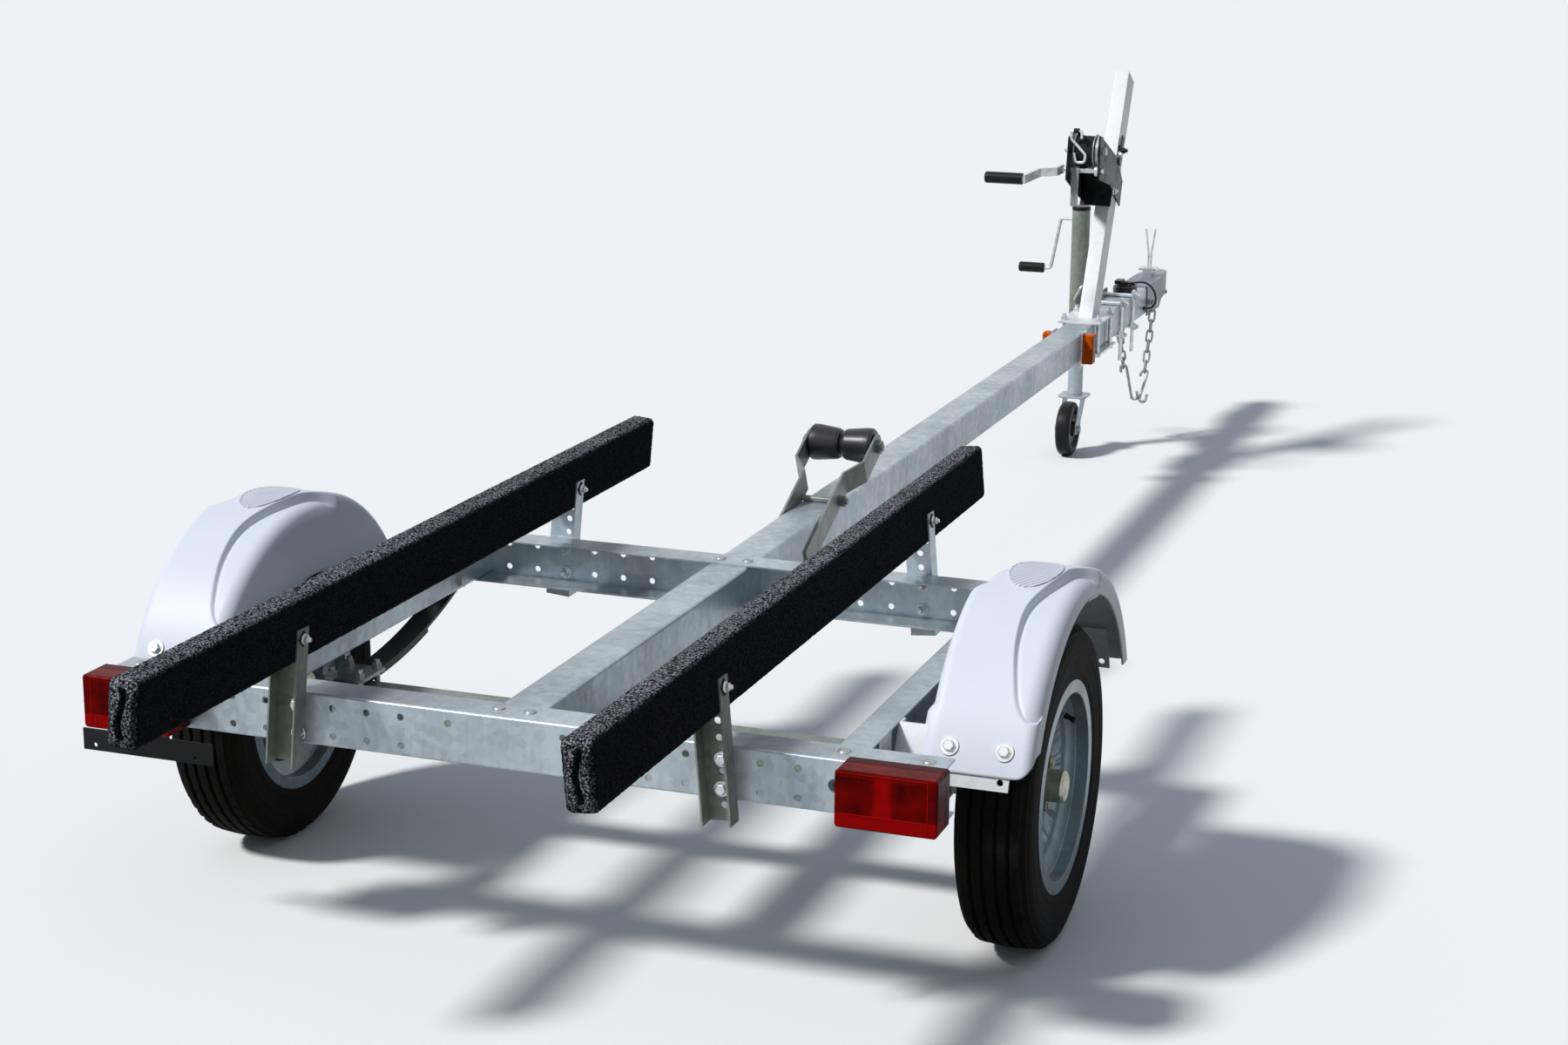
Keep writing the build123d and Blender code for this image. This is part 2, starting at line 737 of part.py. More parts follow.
def right_fender_brackets():
    """Two strips bent to the fender's inside, from the rail's channel out under the skirts."""
    outer = fender_crown_radius - fender_wall - touch
    x = (rail_outer_x, fender_strip_end_x)
    strip = rod_x(x, axle_y, axle_z, outer) - rod_x(x, axle_y, axle_z, outer - fender_strip_thick)
    strip -= rod_y(fender_strip_hole_x, (axle_y - outer - 5, axle_y + outer + 5),
                   fender_strip_low_z + fender_strip_hole_rise, fender_strip_hole_radius)
    pieces = []
    for side in (-1, 1):
        y = sorted((axle_y + side * (outer + 5), axle_y + side * 100))
        piece = strip & block(x, y, (fender_strip_low_z, fender_strip_high_z))
        tab_y = axle_y + side * sqrt(outer ** 2 - (fender_strip_high_z - axle_z) ** 2)
        tab = block((rail_outer_x, rail_outer_x + fender_strip_thick),
                    sorted((axle_y + side * outer, tab_y - side * fender_tab_length)),
                    (beam_bottom, fender_strip_high_z))
        tab &= rod_x((rail_outer_x - 1, rail_outer_x + 10), axle_y, axle_z, outer)
        pieces.append(piece + tab)
    return pieces


# Bunks

BunkSide = namedtuple("BunkSide", "name face hole_x lean")
bunk_sides = (BunkSide("right", right_bunk_face, bunk_bolt_x, -bunk_lean),
              BunkSide("left", left_bunk_face, -bunk_bolt_x, bunk_lean))


def leaned(side, piece):
    """Lean a bunk or bracket about its bolt line on the crossmember."""
    place = Pos(side.hole_x, 0, beam_mid_z)
    return place * Rot(0, side.lean, 0) * place.inverse() * piece


def bunk(side):
    board = block((side.face - bunk_width, side.face), (bunk_rear_y, bunk_front_y),
                  (bunk_bottom_z, bunk_bottom_z + bunk_height))
    return leaned(side, fillet(board.edges().filter_by(Axis.Y), bunk_edge_round))


def bunk_bracket(side, web_y, outward):
    """Channel bolted to a crossmember's web; its right flange runs up beside the bunk."""
    right = side.face + plate
    left = right - bunk_width
    web = sorted((web_y, web_y + outward * plate))
    tip_y = web_y + outward * bracket_flange
    depth = sorted((web_y, tip_y))
    upright = (bracket_bottom_z, bunk_bottom_z)
    body = join(block((left, right), web, upright), block((left, left + plate), depth, upright),
                block((right - plate, right), depth, (bracket_bottom_z, bracket_tab_top_z)))
    for i in range(bracket_hole_count):
        z = bracket_bottom_z + bracket_hole_pitch * (i + 0.9)
        body -= rod_y(side.hole_x, (web[0] - 1, web[1] + 1), z, hole_radius)
    return leaned(side, body)


# Lamps and plate bracket

def right_tail_lamp():
    """Lamp case against the crossmember."""
    case = block((lamp_inner_x, lamp_inner_x + lamp_width), (-lamp_depth + lamp_lens_depth, 0),
                 (lamp_top_z - lamp_height, lamp_top_z))
    return fillet(case.edges().filter_by(Axis.Y), lamp_round)


def right_tail_lens():
    lens = block((lamp_inner_x, lamp_inner_x + lamp_width), (-lamp_depth, -lamp_depth + lamp_lens_depth),
                 (lamp_top_z - lamp_height, lamp_top_z))
    lens = fillet(lens.edges().filter_by(Axis.Y), lamp_round)
    return chamfer(lens.faces().sort_by(Axis.Y)[0].edges(), 2.0)


def plate_bracket():
    y = (-plate_bracket_thick, 0)
    bar = block((plate_bracket_left_x, plate_bracket_right_x), y, (plate_bracket_low_z, plate_bracket_high_z))
    tab_mid = -(lamp_inner_x + lamp_width / 2)
    tab = block((tab_mid - 35, tab_mid + 35), y, (plate_bracket_high_z - 1, lamp_top_z - 20))
    bar += tab
    for x in (plate_hole_right_x, plate_hole_right_x - plate_hole_spacing):
        bar -= rod_y(x, (-plate_bracket_thick - 1, 1), plate_hole_z, plate_hole_radius)
    return bar


def marker_pieces():
    base_x = (beam_half, beam_half + marker_base_thick)
    base = block(base_x, (marker_y - marker_length / 2 - marker_base_margin,
                          marker_y + marker_length / 2 + marker_base_margin),
                 (marker_low_z - marker_base_margin, marker_high_z + marker_base_margin))
    lens = block((base_x[1], base_x[1] + marker_depth),
                 (marker_y - marker_length / 2, marker_y + marker_length / 2), (marker_low_z, marker_high_z))
    lens = fillet(lens.edges().filter_by(Axis.X), 5.0)
    lens = fillet(lens.faces().sort_by(Axis.X)[-1].edges(), 4.0)
    return base, lens


# Keel roller

def roller_bracket():
    """Two bent arms with their roller pin and the bolts that clamp them on the beam."""
    start_y = roller_y - arm_length * cos(radians(arm_slope))
    start_z = roller_z - arm_length * sin(radians(arm_slope))
    path = [(-arm_end, 0), (arm_bend_from, 0), (arm_bend_to, -arm_spread),
            (arm_length + arm_end, -arm_spread)]
    outline = strip_outline([(s, x - beam_half) for s, x in path], -arm_thick)
    arm = extrude(make_face(Polyline(*outline, close=True)), arm_width / 2, both=True)
    rounding = Pos(arm_length, -beam_half - arm_spread, 0) * Rot(90, 0, 0) * Cylinder(arm_width / 2, 60)
    tip = Pos(arm_length + arm_end / 2, -beam_half - arm_spread, 0) * Box(arm_end, 60, arm_width)
    arm -= tip - rounding
    left_arm = Pos(0, start_y, start_z) * Rot(arm_slope, 0, 0) * Rot(0, 0, 90) * mirror(arm, about=Plane.XZ)
    right_arm = mirror(left_arm, about=Plane.YZ)
    outer_x = beam_half + arm_spread + arm_thick
    pin = rod_x((-outer_x - 12, outer_x + 12), roller_y, roller_z, roller_pin_radius)
    bracket = join(left_arm, right_arm, pin)
    for side in (-1, 1):
        nut_x = sorted((side * outer_x, side * (outer_x + 9)))
        bracket += hexagon_x(nut_x, roller_y, roller_z, roller_pin_radius + 6)
    above_y = start_y + cross_bolt_along * cos(radians(arm_slope))
    bolt_places = ((above_y, beam_top + cross_bolt_radius + touch),
                   (start_y - low_bolt_back, beam_bottom - cross_bolt_radius - touch))
    for y, z in bolt_places:
        half = beam_half + arm_thick + 14
        bolt = rod_x((-half, half), y, z, cross_bolt_radius)
        for side in (-1, 1):
            nut_x = sorted((side * (beam_half + arm_thick), side * (beam_half + arm_thick + 10)))
            bolt += hexagon_x(nut_x, y, z, cross_bolt_radius + 5)
        bracket += bolt
    return bracket


def keel_roller():
    half = roller_length / 2
    g = roller_groove / 2
    bore = roller_pin_radius + running
    outline = [(-half, bore), (-half, roller_end_radius - 4), (-half + 5, roller_end_radius),
               (-half + 16, roller_end_radius), (-g - 6, roller_waist_radius), (-g, roller_waist_radius - 3),
               (-g, roller_groove_radius), (g, roller_groove_radius), (g, roller_waist_radius - 3),
               (g + 6, roller_waist_radius), (half - 16, roller_end_radius), (half - 5, roller_end_radius),
               (half, roller_end_radius - 4), (half, bore)]
    return ring_about_x(roller_y, roller_z, outline)


# Winch post and winch

def in_post(piece):
    """Place a piece given in the post's own axes: Y across its depth, Z along it."""
    return Pos(0, post_rear_y, beam_top + base_thick) * Rot(-post_lean, 0, 0) * piece


def winch_post():
    foot = 60.0
    half = post_width / 2
    tube = block((-half, half), (0, post_depth), (-foot, post_length))
    tube -= block((-half + post_wall, half - post_wall), (post_wall, post_depth - post_wall),
                  (-foot - 1, post_length + 1))
    above = block((-half - 1, half + 1), (base_rear_y - post_length, post_rear_y + post_length),
                  (beam_top + base_thick / 2, beam_top + 2 * post_length))
    post = in_post(tube) & above
    base = block((-base_half_width, base_half_width), (base_rear_y, base_front_y),
                 (beam_top, beam_top + base_thick))
    return post + base


def post_clamp():
    """Plate under the beam, pulled up by four bolts through the base plate."""
    low_z = beam_bottom - base_thick
    clamp = block((-base_half_width, base_half_width), (base_rear_y, base_front_y), (low_z, beam_bottom))
    for x in (-base_bolt_x, base_bolt_x):
        for y in (base_rear_y + base_bolt_inset, base_front_y - base_bolt_inset):
            clamp += rod_z(x, y, (low_z - base_bolt_end, beam_top), base_bolt_radius)
            clamp += hexagon_z(x, y, (low_z - 7, low_z), base_nut_radius)
    return clamp


def base_bolts():
    """The nuts and threads that stand above the base plate."""
    top = beam_top + base_thick
    nuts = []
    for x in (-base_bolt_x, base_bolt_x):
        for y in (base_rear_y + base_bolt_inset, base_front_y - base_bolt_inset):
            nut = hexagon_z(x, y, (top, top + base_nut_height), base_nut_radius)
            nuts.append(nut + rod_z(x, y, (top, top + base_nut_height + base_bolt_end), base_bolt_radius))
    return nuts


# Outlines of the winch's side plates as (Y, Z) points
right_plate_outline = ((3637, 929), (3698, 908), (3857, 846), (3925, 776), (3900, 710), (3773, 783),
                       (3640, 812))
left_plate_outline = ((3626, 923), (3608, 812), (3751, 752), (3800, 738), (3842, 818), (3691, 932))


def winch_frame():
    """Two side plates, the foot on the post's rear face and the clamp strip at the post's right."""
    right = side_plate((winch_right_x - winch_plate, winch_right_x), right_plate_outline)
    left = side_plate((winch_left_x, winch_left_x + winch_plate), left_plate_outline)
    foot_z = (winch_foot_low, winch_foot_high)
    foot = in_post(block((winch_left_x, winch_right_x), (-winch_plate, 0), foot_z))
    frame = join(right, left, foot)
    for y, z in ((drum_y, drum_z), (pinion_y, pinion_z)):
        frame -= rod_x((winch_left_x - 1, winch_right_x + 1), y, z, drum_shaft_radius + touch)
    half = post_width / 2
    strip_x = (winch_right_x, winch_right_x + winch_plate)
    strip = in_post(block(strip_x, (8, 30), (winch_foot_high + 20, winch_foot_high + 100)))
    bolt_z = winch_foot_high + 60
    bolt = in_post(rod_x((half, winch_right_x + winch_plate + 16), 19, bolt_z, 5.0))
    nut = in_post(hexagon_x((winch_right_x + winch_plate, winch_right_x + winch_plate + 9), 19, bolt_z, 9.0))
    spacer = in_post(block((half, winch_right_x), (8, 30), (bolt_z - 12, bolt_z + 12)))
    return join(frame, strip, bolt, nut, spacer)


def winch_drum():
    """Spool with its two flanges, the large gear and the shaft."""
    left = drum_left_x
    right = left + drum_flange + strap_width + drum_flange
    drum = rod_x((left, right), drum_y, drum_z, drum_core_radius)
    drum += rod_x((left, left + drum_flange), drum_y, drum_z, drum_flange_radius)
    drum += rod_x((right - drum_flange, right), drum_y, drum_z, drum_flange_radius)
    drum += rod_x((right, right + 3), drum_y, drum_z, drum_core_radius)
    drum += rod_x((right + 3, right + 3 + gear_width), drum_y, drum_z, gear_radius)
    shaft_x = (winch_left_x - 8, winch_right_x + 8)
    drum += rod_x(shaft_x, drum_y, drum_z, drum_shaft_radius)
    drum += hexagon_x((winch_left_x - 7, winch_left_x - touch), drum_y, drum_z, drum_shaft_radius + 4)
    drum += hexagon_x((winch_right_x + touch, winch_right_x + 7), drum_y, drum_z, drum_shaft_radius + 4)
    return drum


def winch_strap():
    """The wound strap, filling the spool between its flanges."""
    left = drum_left_x + drum_flange
    x = (left + touch, left + strap_width - touch)
    wound = rod_x(x, drum_y, drum_z, strap_radius)
    wound -= rod_x((x[0] - 1, x[1] + 1), drum_y, drum_z, drum_core_radius + touch)
    eye = hook_wire + touch
    gap = hypot(hook_y - drum_y, hook_top_z - drum_z)
    facing = degrees(atan2(hook_top_z - drum_z, hook_y - drum_y))
    lean = degrees(acos((strap_radius - eye - strap_thick) / gap))
    out = (cos(radians(facing - lean)), sin(radians(facing - lean)))
    ends = [(drum_y, drum_z, strap_radius), (hook_y, hook_top_z, eye + strap_thick)]
    tail = [(y + out[0] * (r - inset), z + out[1] * (r - inset))
            for (y, z, r), inset in ((ends[0], 0), (ends[1], 0), (ends[1], strap_thick), (ends[0], strap_thick))]
    loop = side_plate(strap_tail_x, tail) + rod_x(strap_tail_x, hook_y, hook_top_z, eye + strap_thick)
    loop -= rod_x((strap_tail_x[0] - 1, strap_tail_x[1] + 1), hook_y, hook_top_z, eye)
    return wound + loop


def winch_hook():
    """S-hook hanging behind the spool, as (X, Z) points down its wire."""
    return tube_along([(x, hook_y, z) for x, z in hook_path], [6, 8, 8, 8, 8, 8], hook_wire)


def winch_handle():
    """Pinion shaft with the cranked arm that points to the rear."""
    shaft_left = winch_left_x - handle_gap - handle_bar
    gear_left = drum_left_x + 2 * drum_flange + strap_width + 3
    handle = rod_x((shaft_left - 8, winch_right_x + 6), pinion_y, pinion_z, pinion_shaft_radius)
    pinion_radius = hypot(drum_y - pinion_y, drum_z - pinion_z) - gear_radius - touch
    handle += rod_x((gear_left, gear_left + gear_width), pinion_y, pinion_z, pinion_radius)
    handle += hexagon_x((shaft_left - 8, shaft_left), pinion_y, pinion_z, pinion_shaft_radius + 4)
    outer = shaft_left
    path = [(pinion_y + 14, outer), (pinion_y - 60, outer), (pinion_y - 95, outer - handle_offset),
            (pinion_y - handle_reach - 12, outer - handle_offset)]
    outline = [(x, y) for y, x in strip_outline(path, handle_bar)]
    face = make_face(Polyline(*outline, close=True))
    arm = Pos(0, 0, pinion_z) * extrude(face, handle_bar_width / 2, both=True)
    grip_y = pinion_y - handle_reach
    stub_x = (outer - handle_offset - 10, outer - handle_offset)
    handle += arm
    handle += rod_x(stub_x, grip_y, pinion_z, 9.0)
    return handle


def winch_handle_grip():
    outer = winch_left_x - handle_gap - handle_bar - handle_offset - 10
    grip = rod_x((outer - handle_grip_length, outer), pinion_y - handle_reach, pinion_z, handle_grip_radius)
    return fillet(grip.edges().sort_by(Axis.X)[0], 5.0)


# Tongue jack

def jack_bracket():
    """Plate on the beam's left, two bars on its right, the bolts between them and the pivot."""
    plate_x = (-beam_half - jack_plate_thick, -beam_half)
    last_bolt_y = jack_first_bolt_y + jack_bolt_gap
    side = block(plate_x, (jack_first_bolt_y - 18, last_bolt_y + 18), (jack_plate_low_z, jack_plate_high_z))
    bracket = fillet(side.edges().filter_by(Axis.X), 8.0)
    bar_x = (beam_half, beam_half + jack_bar_thick)
    bolt_x = (plate_x[0] - 6, bar_x[1] + jack_nut_height + 6)
    for y in (jack_first_bolt_y, last_bolt_y):
        bracket += block(bar_x, (y - jack_bar_width / 2, y + jack_bar_width / 2),
                         (jack_bar_low_z, jack_bar_high_z))
        for z in (beam_top + jack_bolt_radius + touch, beam_bottom - jack_bolt_radius - touch):
            bracket += rod_x(bolt_x, y, z, jack_bolt_radius)
            bracket += hexagon_x((bar_x[1], bar_x[1] + jack_nut_height), y, z, jack_nut_radius)
            bracket += hexagon_x((bolt_x[0], plate_x[0]), y, z, jack_nut_radius)
    bracket += rod_x((pivot_face_x, plate_x[0]), jack_y, pivot_z, pivot_flange_radius)
    bracket += rod_x((pivot_face_x - pivot_disc - 2 * touch, pivot_face_x), jack_y, pivot_z, pivot_radius)
    return bracket


def jack_sleeve():
    """Outer tube with the disc that turns on the bracket's pivot."""
    tube = rod_z(jack_x, jack_y, (jack_sleeve_low_z, jack_sleeve_top_z), jack_sleeve_radius)
    disc_x = (pivot_face_x - touch - pivot_disc, pivot_face_x - touch)
    disc = rod_x(disc_x, jack_y, pivot_z, pivot_flange_radius + 4)
    web = block((jack_x, disc_x[0]), (jack_y - 18, jack_y + 18), (pivot_z - 34, pivot_z + 34))
    sleeve = join(tube, disc, web)
    sleeve -= rod_x((disc_x[0] - 2, disc_x[1] + 1), jack_y, pivot_z, pivot_radius + running)
    bore_z = (jack_sleeve_low_z - 1, jack_sleeve_top_z - 4)
    sleeve -= rod_z(jack_x, jack_y, bore_z, jack_leg_radius + running)
    cap_z = (jack_sleeve_top_z, jack_sleeve_top_z + jack_cap_height)
    cap = rod_z(jack_x, jack_y, cap_z, jack_sleeve_radius + 1)
    return sleeve, fillet(cap.edges().sort_by(Axis.Z)[-1], 4.0)


def jack_crank():
    """Bent wire crank from the sleeve's left side, and its grip."""
    start = jack_x - jack_sleeve_radius
    out = start - 32
    low = crank_z - crank_drop
    path = [(start, jack_y, crank_z), (out, jack_y, crank_z), (out - 26, jack_y, low), (out - 44, jack_y, low)]
    crank = tube_along(path, [10, 10], crank_wire_radius)
    end = out - 44
    grip = rod_x((end - crank_grip_length, end), jack_y, low, crank_grip_radius)
    return crank, fillet(grip.edges().filter_by(GeomType.CIRCLE), 4.0)


def jack_leg():
    """Inner tube, closed at its foot, with the stem that the caster turns on."""
    foot_z = caster_plate_z + caster_plate_thick + touch
    leg = rod_z(jack_x, jack_y, (foot_z, jack_leg_top_z), jack_leg_radius)
    leg -= rod_z(jack_x, jack_y, (foot_z + 8, jack_leg_top_z + 1), jack_leg_radius - 3.0)
    head_z = caster_plate_z - touch - 6
    leg += rod_z(jack_x, jack_y, (head_z, foot_z), caster_stem_radius)
    leg += rod_z(jack_x, jack_y, (head_z, caster_plate_z - touch), caster_stem_radius + 5)
    return leg


def jack_caster():
    """Fork that trails behind the leg, with the wheel's pin."""
    plate_z = (caster_plate_z, caster_plate_z + caster_plate_thick)
    top = block((jack_x - 40, jack_x + 40), (jack_y - 46, jack_y + 34), plate_z)
    fork = fillet(top.edges().filter_by(Axis.Z), 14.0)
    wheel_y = jack_y - jack_trail
    inner = jack_wheel_width / 2 + 3
    outline = ((jack_y - 44, caster_plate_z), (jack_y + 26, caster_plate_z),
               (wheel_y + 16, jack_wheel_radius - 14), (wheel_y - 16, jack_wheel_radius - 14),
               (wheel_y - 18, jack_wheel_radius + 12))
    outer = inner + caster_arm_thick
    for side in (-1, 1):
        x = sorted((jack_x + side * inner, jack_x + side * outer))
        fork += side_plate(x, outline)
        nut_x = sorted((jack_x + side * outer, jack_x + side * (outer + caster_nut_height)))
        fork += hexagon_x(nut_x, wheel_y, jack_wheel_radius, caster_pin_radius + 4)
    fork += rod_x((jack_x - inner - 1, jack_x + inner + 1), wheel_y, jack_wheel_radius, caster_pin_radius)
    return fork - rod_z(jack_x, jack_y, (plate_z[0] - 1, plate_z[1] + 1), caster_stem_radius + running)


def jack_wheel():
    half = jack_wheel_width / 2
    r = jack_wheel_radius
    bore = caster_pin_radius + running
    near = [(-half, bore), (-half, 18), (-half + 7, 22), (-half + 7, r - 24), (-half, r - 20),
            (-half, r - 8), (-half + 5, r - 2), (-half + 11, r)]
    outline = near + [(-x, radius) for x, radius in near[::-1]]
    return Pos(jack_x, 0, 0) * ring_about_x(jack_y - jack_trail, jack_wheel_radius, outline)


# Coupler

def coupler_plan(inset):
    """Plan of the coupler, from the tail round the nose, moved in by a wall."""
    tail = coupler_half - inset
    nose = ball_house_radius - inset
    rear = coupler_rear_y - (1 if inset else 0)
    with BuildSketch() as plan:
        with BuildLine():
            Line((-nose, ball_y), (-tail, coupler_neck_y))
            Line((-tail, coupler_neck_y), (-tail, rear))
            Line((-tail, rear), (tail, rear))
            Line((tail, rear), (tail, coupler_neck_y))
            Line((tail, coupler_neck_y), (nose, ball_y))
            ThreePointArc((nose, ball_y), (0, ball_y + nose), (-nose, ball_y))
        make_face()
    return plan.sketch


def coupler_body():
    """Pressed cover over the beam's end, with the ball socket in its nose."""
    top = beam_top + touch + coupler_wall
    tail_low = coupler_tail_low_z
    body = Pos(0, 0, tail_low) * extrude(coupler_plan(0), top - tail_low)
    body -= Pos(0, 0, tail_low - 1) * extrude(coupler_plan(coupler_wall), top - coupler_wall - tail_low + 1)
    ramp = side_plate((-coupler_half - 1, coupler_half + 1),
                      ((coupler_neck_y - 30, tail_low - 1), (coupler_neck_y, socket_mouth_z),
                       (coupler_front_y + 9, socket_mouth_z), (coupler_front_y + 9, tail_low - 1)))
    body -= ramp
    house = rod_z(0, ball_y, (socket_mouth_z, top - coupler_wall / 2), ball_house_radius)
    body += house
    body += rod_z(0, ball_y, (socket_mouth_z, socket_mouth_z + skirt_height), skirt_radius)
    body -= rod_z(0, ball_y, (socket_mouth_z - 1, socket_centre_z), socket_radius)
    body -= Pos(0, ball_y, socket_centre_z) * Sphere(socket_radius)
    return body


def coupler_latch():
    """Bright latch plate on the coupler, with its lever standing open as a narrow V."""
    base = beam_top + touch + coupler_wall
    top = latch_z + latch_height
    y = (latch_y - latch_length / 2, latch_y + latch_length / 2)
    latch = block((-latch_half_width / 2, latch_half_width / 2), y, (base, top - latch_plate))
    latch += block((-latch_half_width, latch_half_width), y, (top - latch_plate, top))
    for side in (-1, 1):
        path = [(side * 4, latch_y + 8, top - 3), (side * 4, latch_y + 8, top + 40),
                (side * lever_spread, latch_y + 8, lever_z)]
        latch += tube_along(path, [12], lever_wire)
    return latch


# Safety chain

def link_outline(radius):
    """Flat-sided outline of a link: two half rounds of a radius and the straight sides."""
    half = (chain_link_length - chain_link_width) / 2
    turns = [radians(180 * i / chain_end_steps - 90) for i in range(chain_end_steps + 1)]
    far = [(half + radius * cos(turn), radius * sin(turn)) for turn in turns]
    return far + [(-x, -y) for x, y in far]


def chain_link(centre, along, across):
    """One link lying in the plane of two directions."""
    outer = make_face(Polyline(*link_outline(chain_link_width / 2), close=True))
    inner = make_face(Polyline(*link_outline(chain_link_width / 2 - chain_wire), close=True))
    ring = extrude(outer - inner, chain_wire / 2, both=True)
    normal = Vector(*along).cross(Vector(*across))
    return Plane(origin=centre, x_dir=along, z_dir=normal).location * ring


def chain_leg(start, end):
    """Links from start towards end, every other one turned a quarter."""
    run = Vector(*end) - Vector(*start)
    along = run.normalized()
    count = int(run.length // chain_pitch)
    sideways = Vector(1, 0, 0)
    links = []
    for i in range(count):
        centre = Vector(*start) + along * (chain_pitch * i + chain_link_length / 2)
        across = sideways if i % 2 else along.cross(sideways)
        links.append(chain_link(tuple(centre), tuple(along), tuple(across)))
    return links, Vector(*start) + along * (chain_pitch * (count - 1) + chain_link_length - chain_wire / 2)


def eased(points, radius):
    """Path of flats round each corner of a path, leaving and joining it a radius away."""
    path = [points[0]]
    for before, at, after in zip(points, points[1:], points[2:]):
        back, on = Vector(*before) - Vector(*at), Vector(*after) - Vector(*at)
        start, end = Vector(*at) + back.normalized() * radius, Vector(*at) + on.normalized() * radius
        for share in (0.0, 0.33, 0.67, 1.0):
            spot = start * (1 - share) ** 2 + Vector(*at) * (2 * share * (1 - share)) + end * share ** 2
            path.append((spot.X, spot.Y))
    return path + [points[-1]]


def chain_hook(at, low):
    """S-hook of square bar from the last link's end wire down to a low point."""
    along = (Vector(*low) - at).normalized()
    across = along.cross(Vector(0, 1, 0)).normalized()
    r = chain_hook_wire / 2
    bend = r + chain_wire / 2 + 2.0
    rise = r + chain_wire / 2 + touch
    length = (Vector(*low) - at).length + rise
    corners = [(-2 * bend, 20), (-2 * bend, 0), (0, 0), (0, length), (2 * bend, length),
               (2 * bend, length - 24)]
    path = eased(corners, chain_hook_bend)
    left, right = strip_outline(path, r)[len(path):], strip_outline(path, -r)[len(path):]
    bar = extrude(make_face(Polyline(*left, *right[::-1], close=True)), r, both=True)
    place = Plane(origin=at + across * bend - along * rise, x_dir=across, z_dir=across.cross(along))
    return place.location * bar


# Each leg: where its first link starts, where it runs to and where its hook ends
ChainLeg = namedtuple("ChainLeg", "start end low")
chain_legs = (
    ChainLeg(chain_beam_start, (0.0, 4136.0, 222.0), (14.0, 4163.0, 118.0)),
    ChainLeg((coupler_half + chain_coupler_stand_off, chain_coupler_start_y, chain_coupler_start_z),
             (coupler_half + 8.0, 4200.0, 196.0), (34.0, 4163.0, 118.0)))


def chain_bolt_centre(leg):
    """Centre of the bolt in a leg's first link, with the link hanging on it."""
    along = (Vector(*leg.end) - Vector(*leg.start)).normalized()
    return Vector(*leg.start) + along * (chain_link_width / 2 - touch)


def chain_anchors():
    """Two tabs with a bolt under the beam, and a bolt out of the coupler's side."""
    under = chain_bolt_centre(chain_legs[0])
    inner = chain_wire / 2 + 2
    half = inner + chain_tab
    tab_y = (under.Y - 12, under.Y + 12)
    tab_z = (under.Z - 12, beam_bottom)
    lug = rod_x((-half - 1, half + 1), under.Y, under.Z, chain_bolt_radius)
    for side in (-1, 1):
        lug += block(sorted((side * inner, side * half)), tab_y, tab_z)
        lug += hexagon_x(sorted((side * half, side * (half + 5))), under.Y, under.Z, chain_bolt_head)
    beside = chain_bolt_centre(chain_legs[1])
    link_x = (beside.X - chain_wire / 2 - 1, beside.X + chain_wire / 2 + 1)
    bolt = rod_x((coupler_half, link_x[1] + 1), beside.Y, beside.Z, chain_bolt_radius)
    bolt += hexagon_x((coupler_half, link_x[0]), beside.Y, beside.Z, chain_bolt_head)
    bolt += hexagon_x((link_x[1], link_x[1] + 6), beside.Y, beside.Z, chain_bolt_head)
    return lug, bolt


def safety_chain():
    """Two legs of chain with their hooks."""
    pieces = []
    for start, end, low in chain_legs:
        links, last = chain_leg(start, end)
        pieces.extend(links)
        pieces.append(chain_hook(last, low))
    return pieces


# Wiring harness, parked as a coil on the beam

harness_route = ((beam_half + 3.0, 4200, 380), (63, 4200, 380), (75, 4195, 403), (73, 4186, 431),
                 (60, 4176, 452), (42, 4163, 463), (22, 4150, 456))


def harness_grommet():
    ring = rod_x((beam_half, beam_half + 3.0), harness_route[0][1], harness_route[0][2], harness_diameter)
    return fillet(ring.edges().sort_by(Axis.X)[-1], 1.0)


def harness_coil():
    outer = SlotCenterToCenter(coil_length - coil_width, coil_width)
    hole = SlotCenterToCenter(coil_length - coil_width, coil_hole)
    ring = extrude(outer - hole, coil_height)
    ring = Pos(0, coil_y, beam_top + touch) * Rot(0, 0, 90) * ring
    return fillet(ring.faces().sort_by(Axis.Z)[-1].edges(), 6.0)


def harness_radii():
    """Each arc of the lead as large as its two runs allow."""
    points = [Vector(*p) for p in harness_route]
    radii = []
    for before, at, after in zip(points, points[1:], points[2:]):
        turn = radians((at - before).get_angle(after - at))
        shorter = min((at - before).length, (after - at).length)
        radii.append(0.45 * shorter / tan(turn / 2))
    return radii


def harness_lead():
    return tube_along(harness_route, harness_radii(), harness_diameter / 2)


def harness_plug():
    z = beam_top + touch + coil_height
    body = block((plug_x - plug_width / 2, plug_x + plug_width / 2), (coil_y - 30, coil_y - 30 + plug_length),
                 (z, z + plug_height))
    return fillet(body.edges().filter_by(Axis.Z), 2.0)


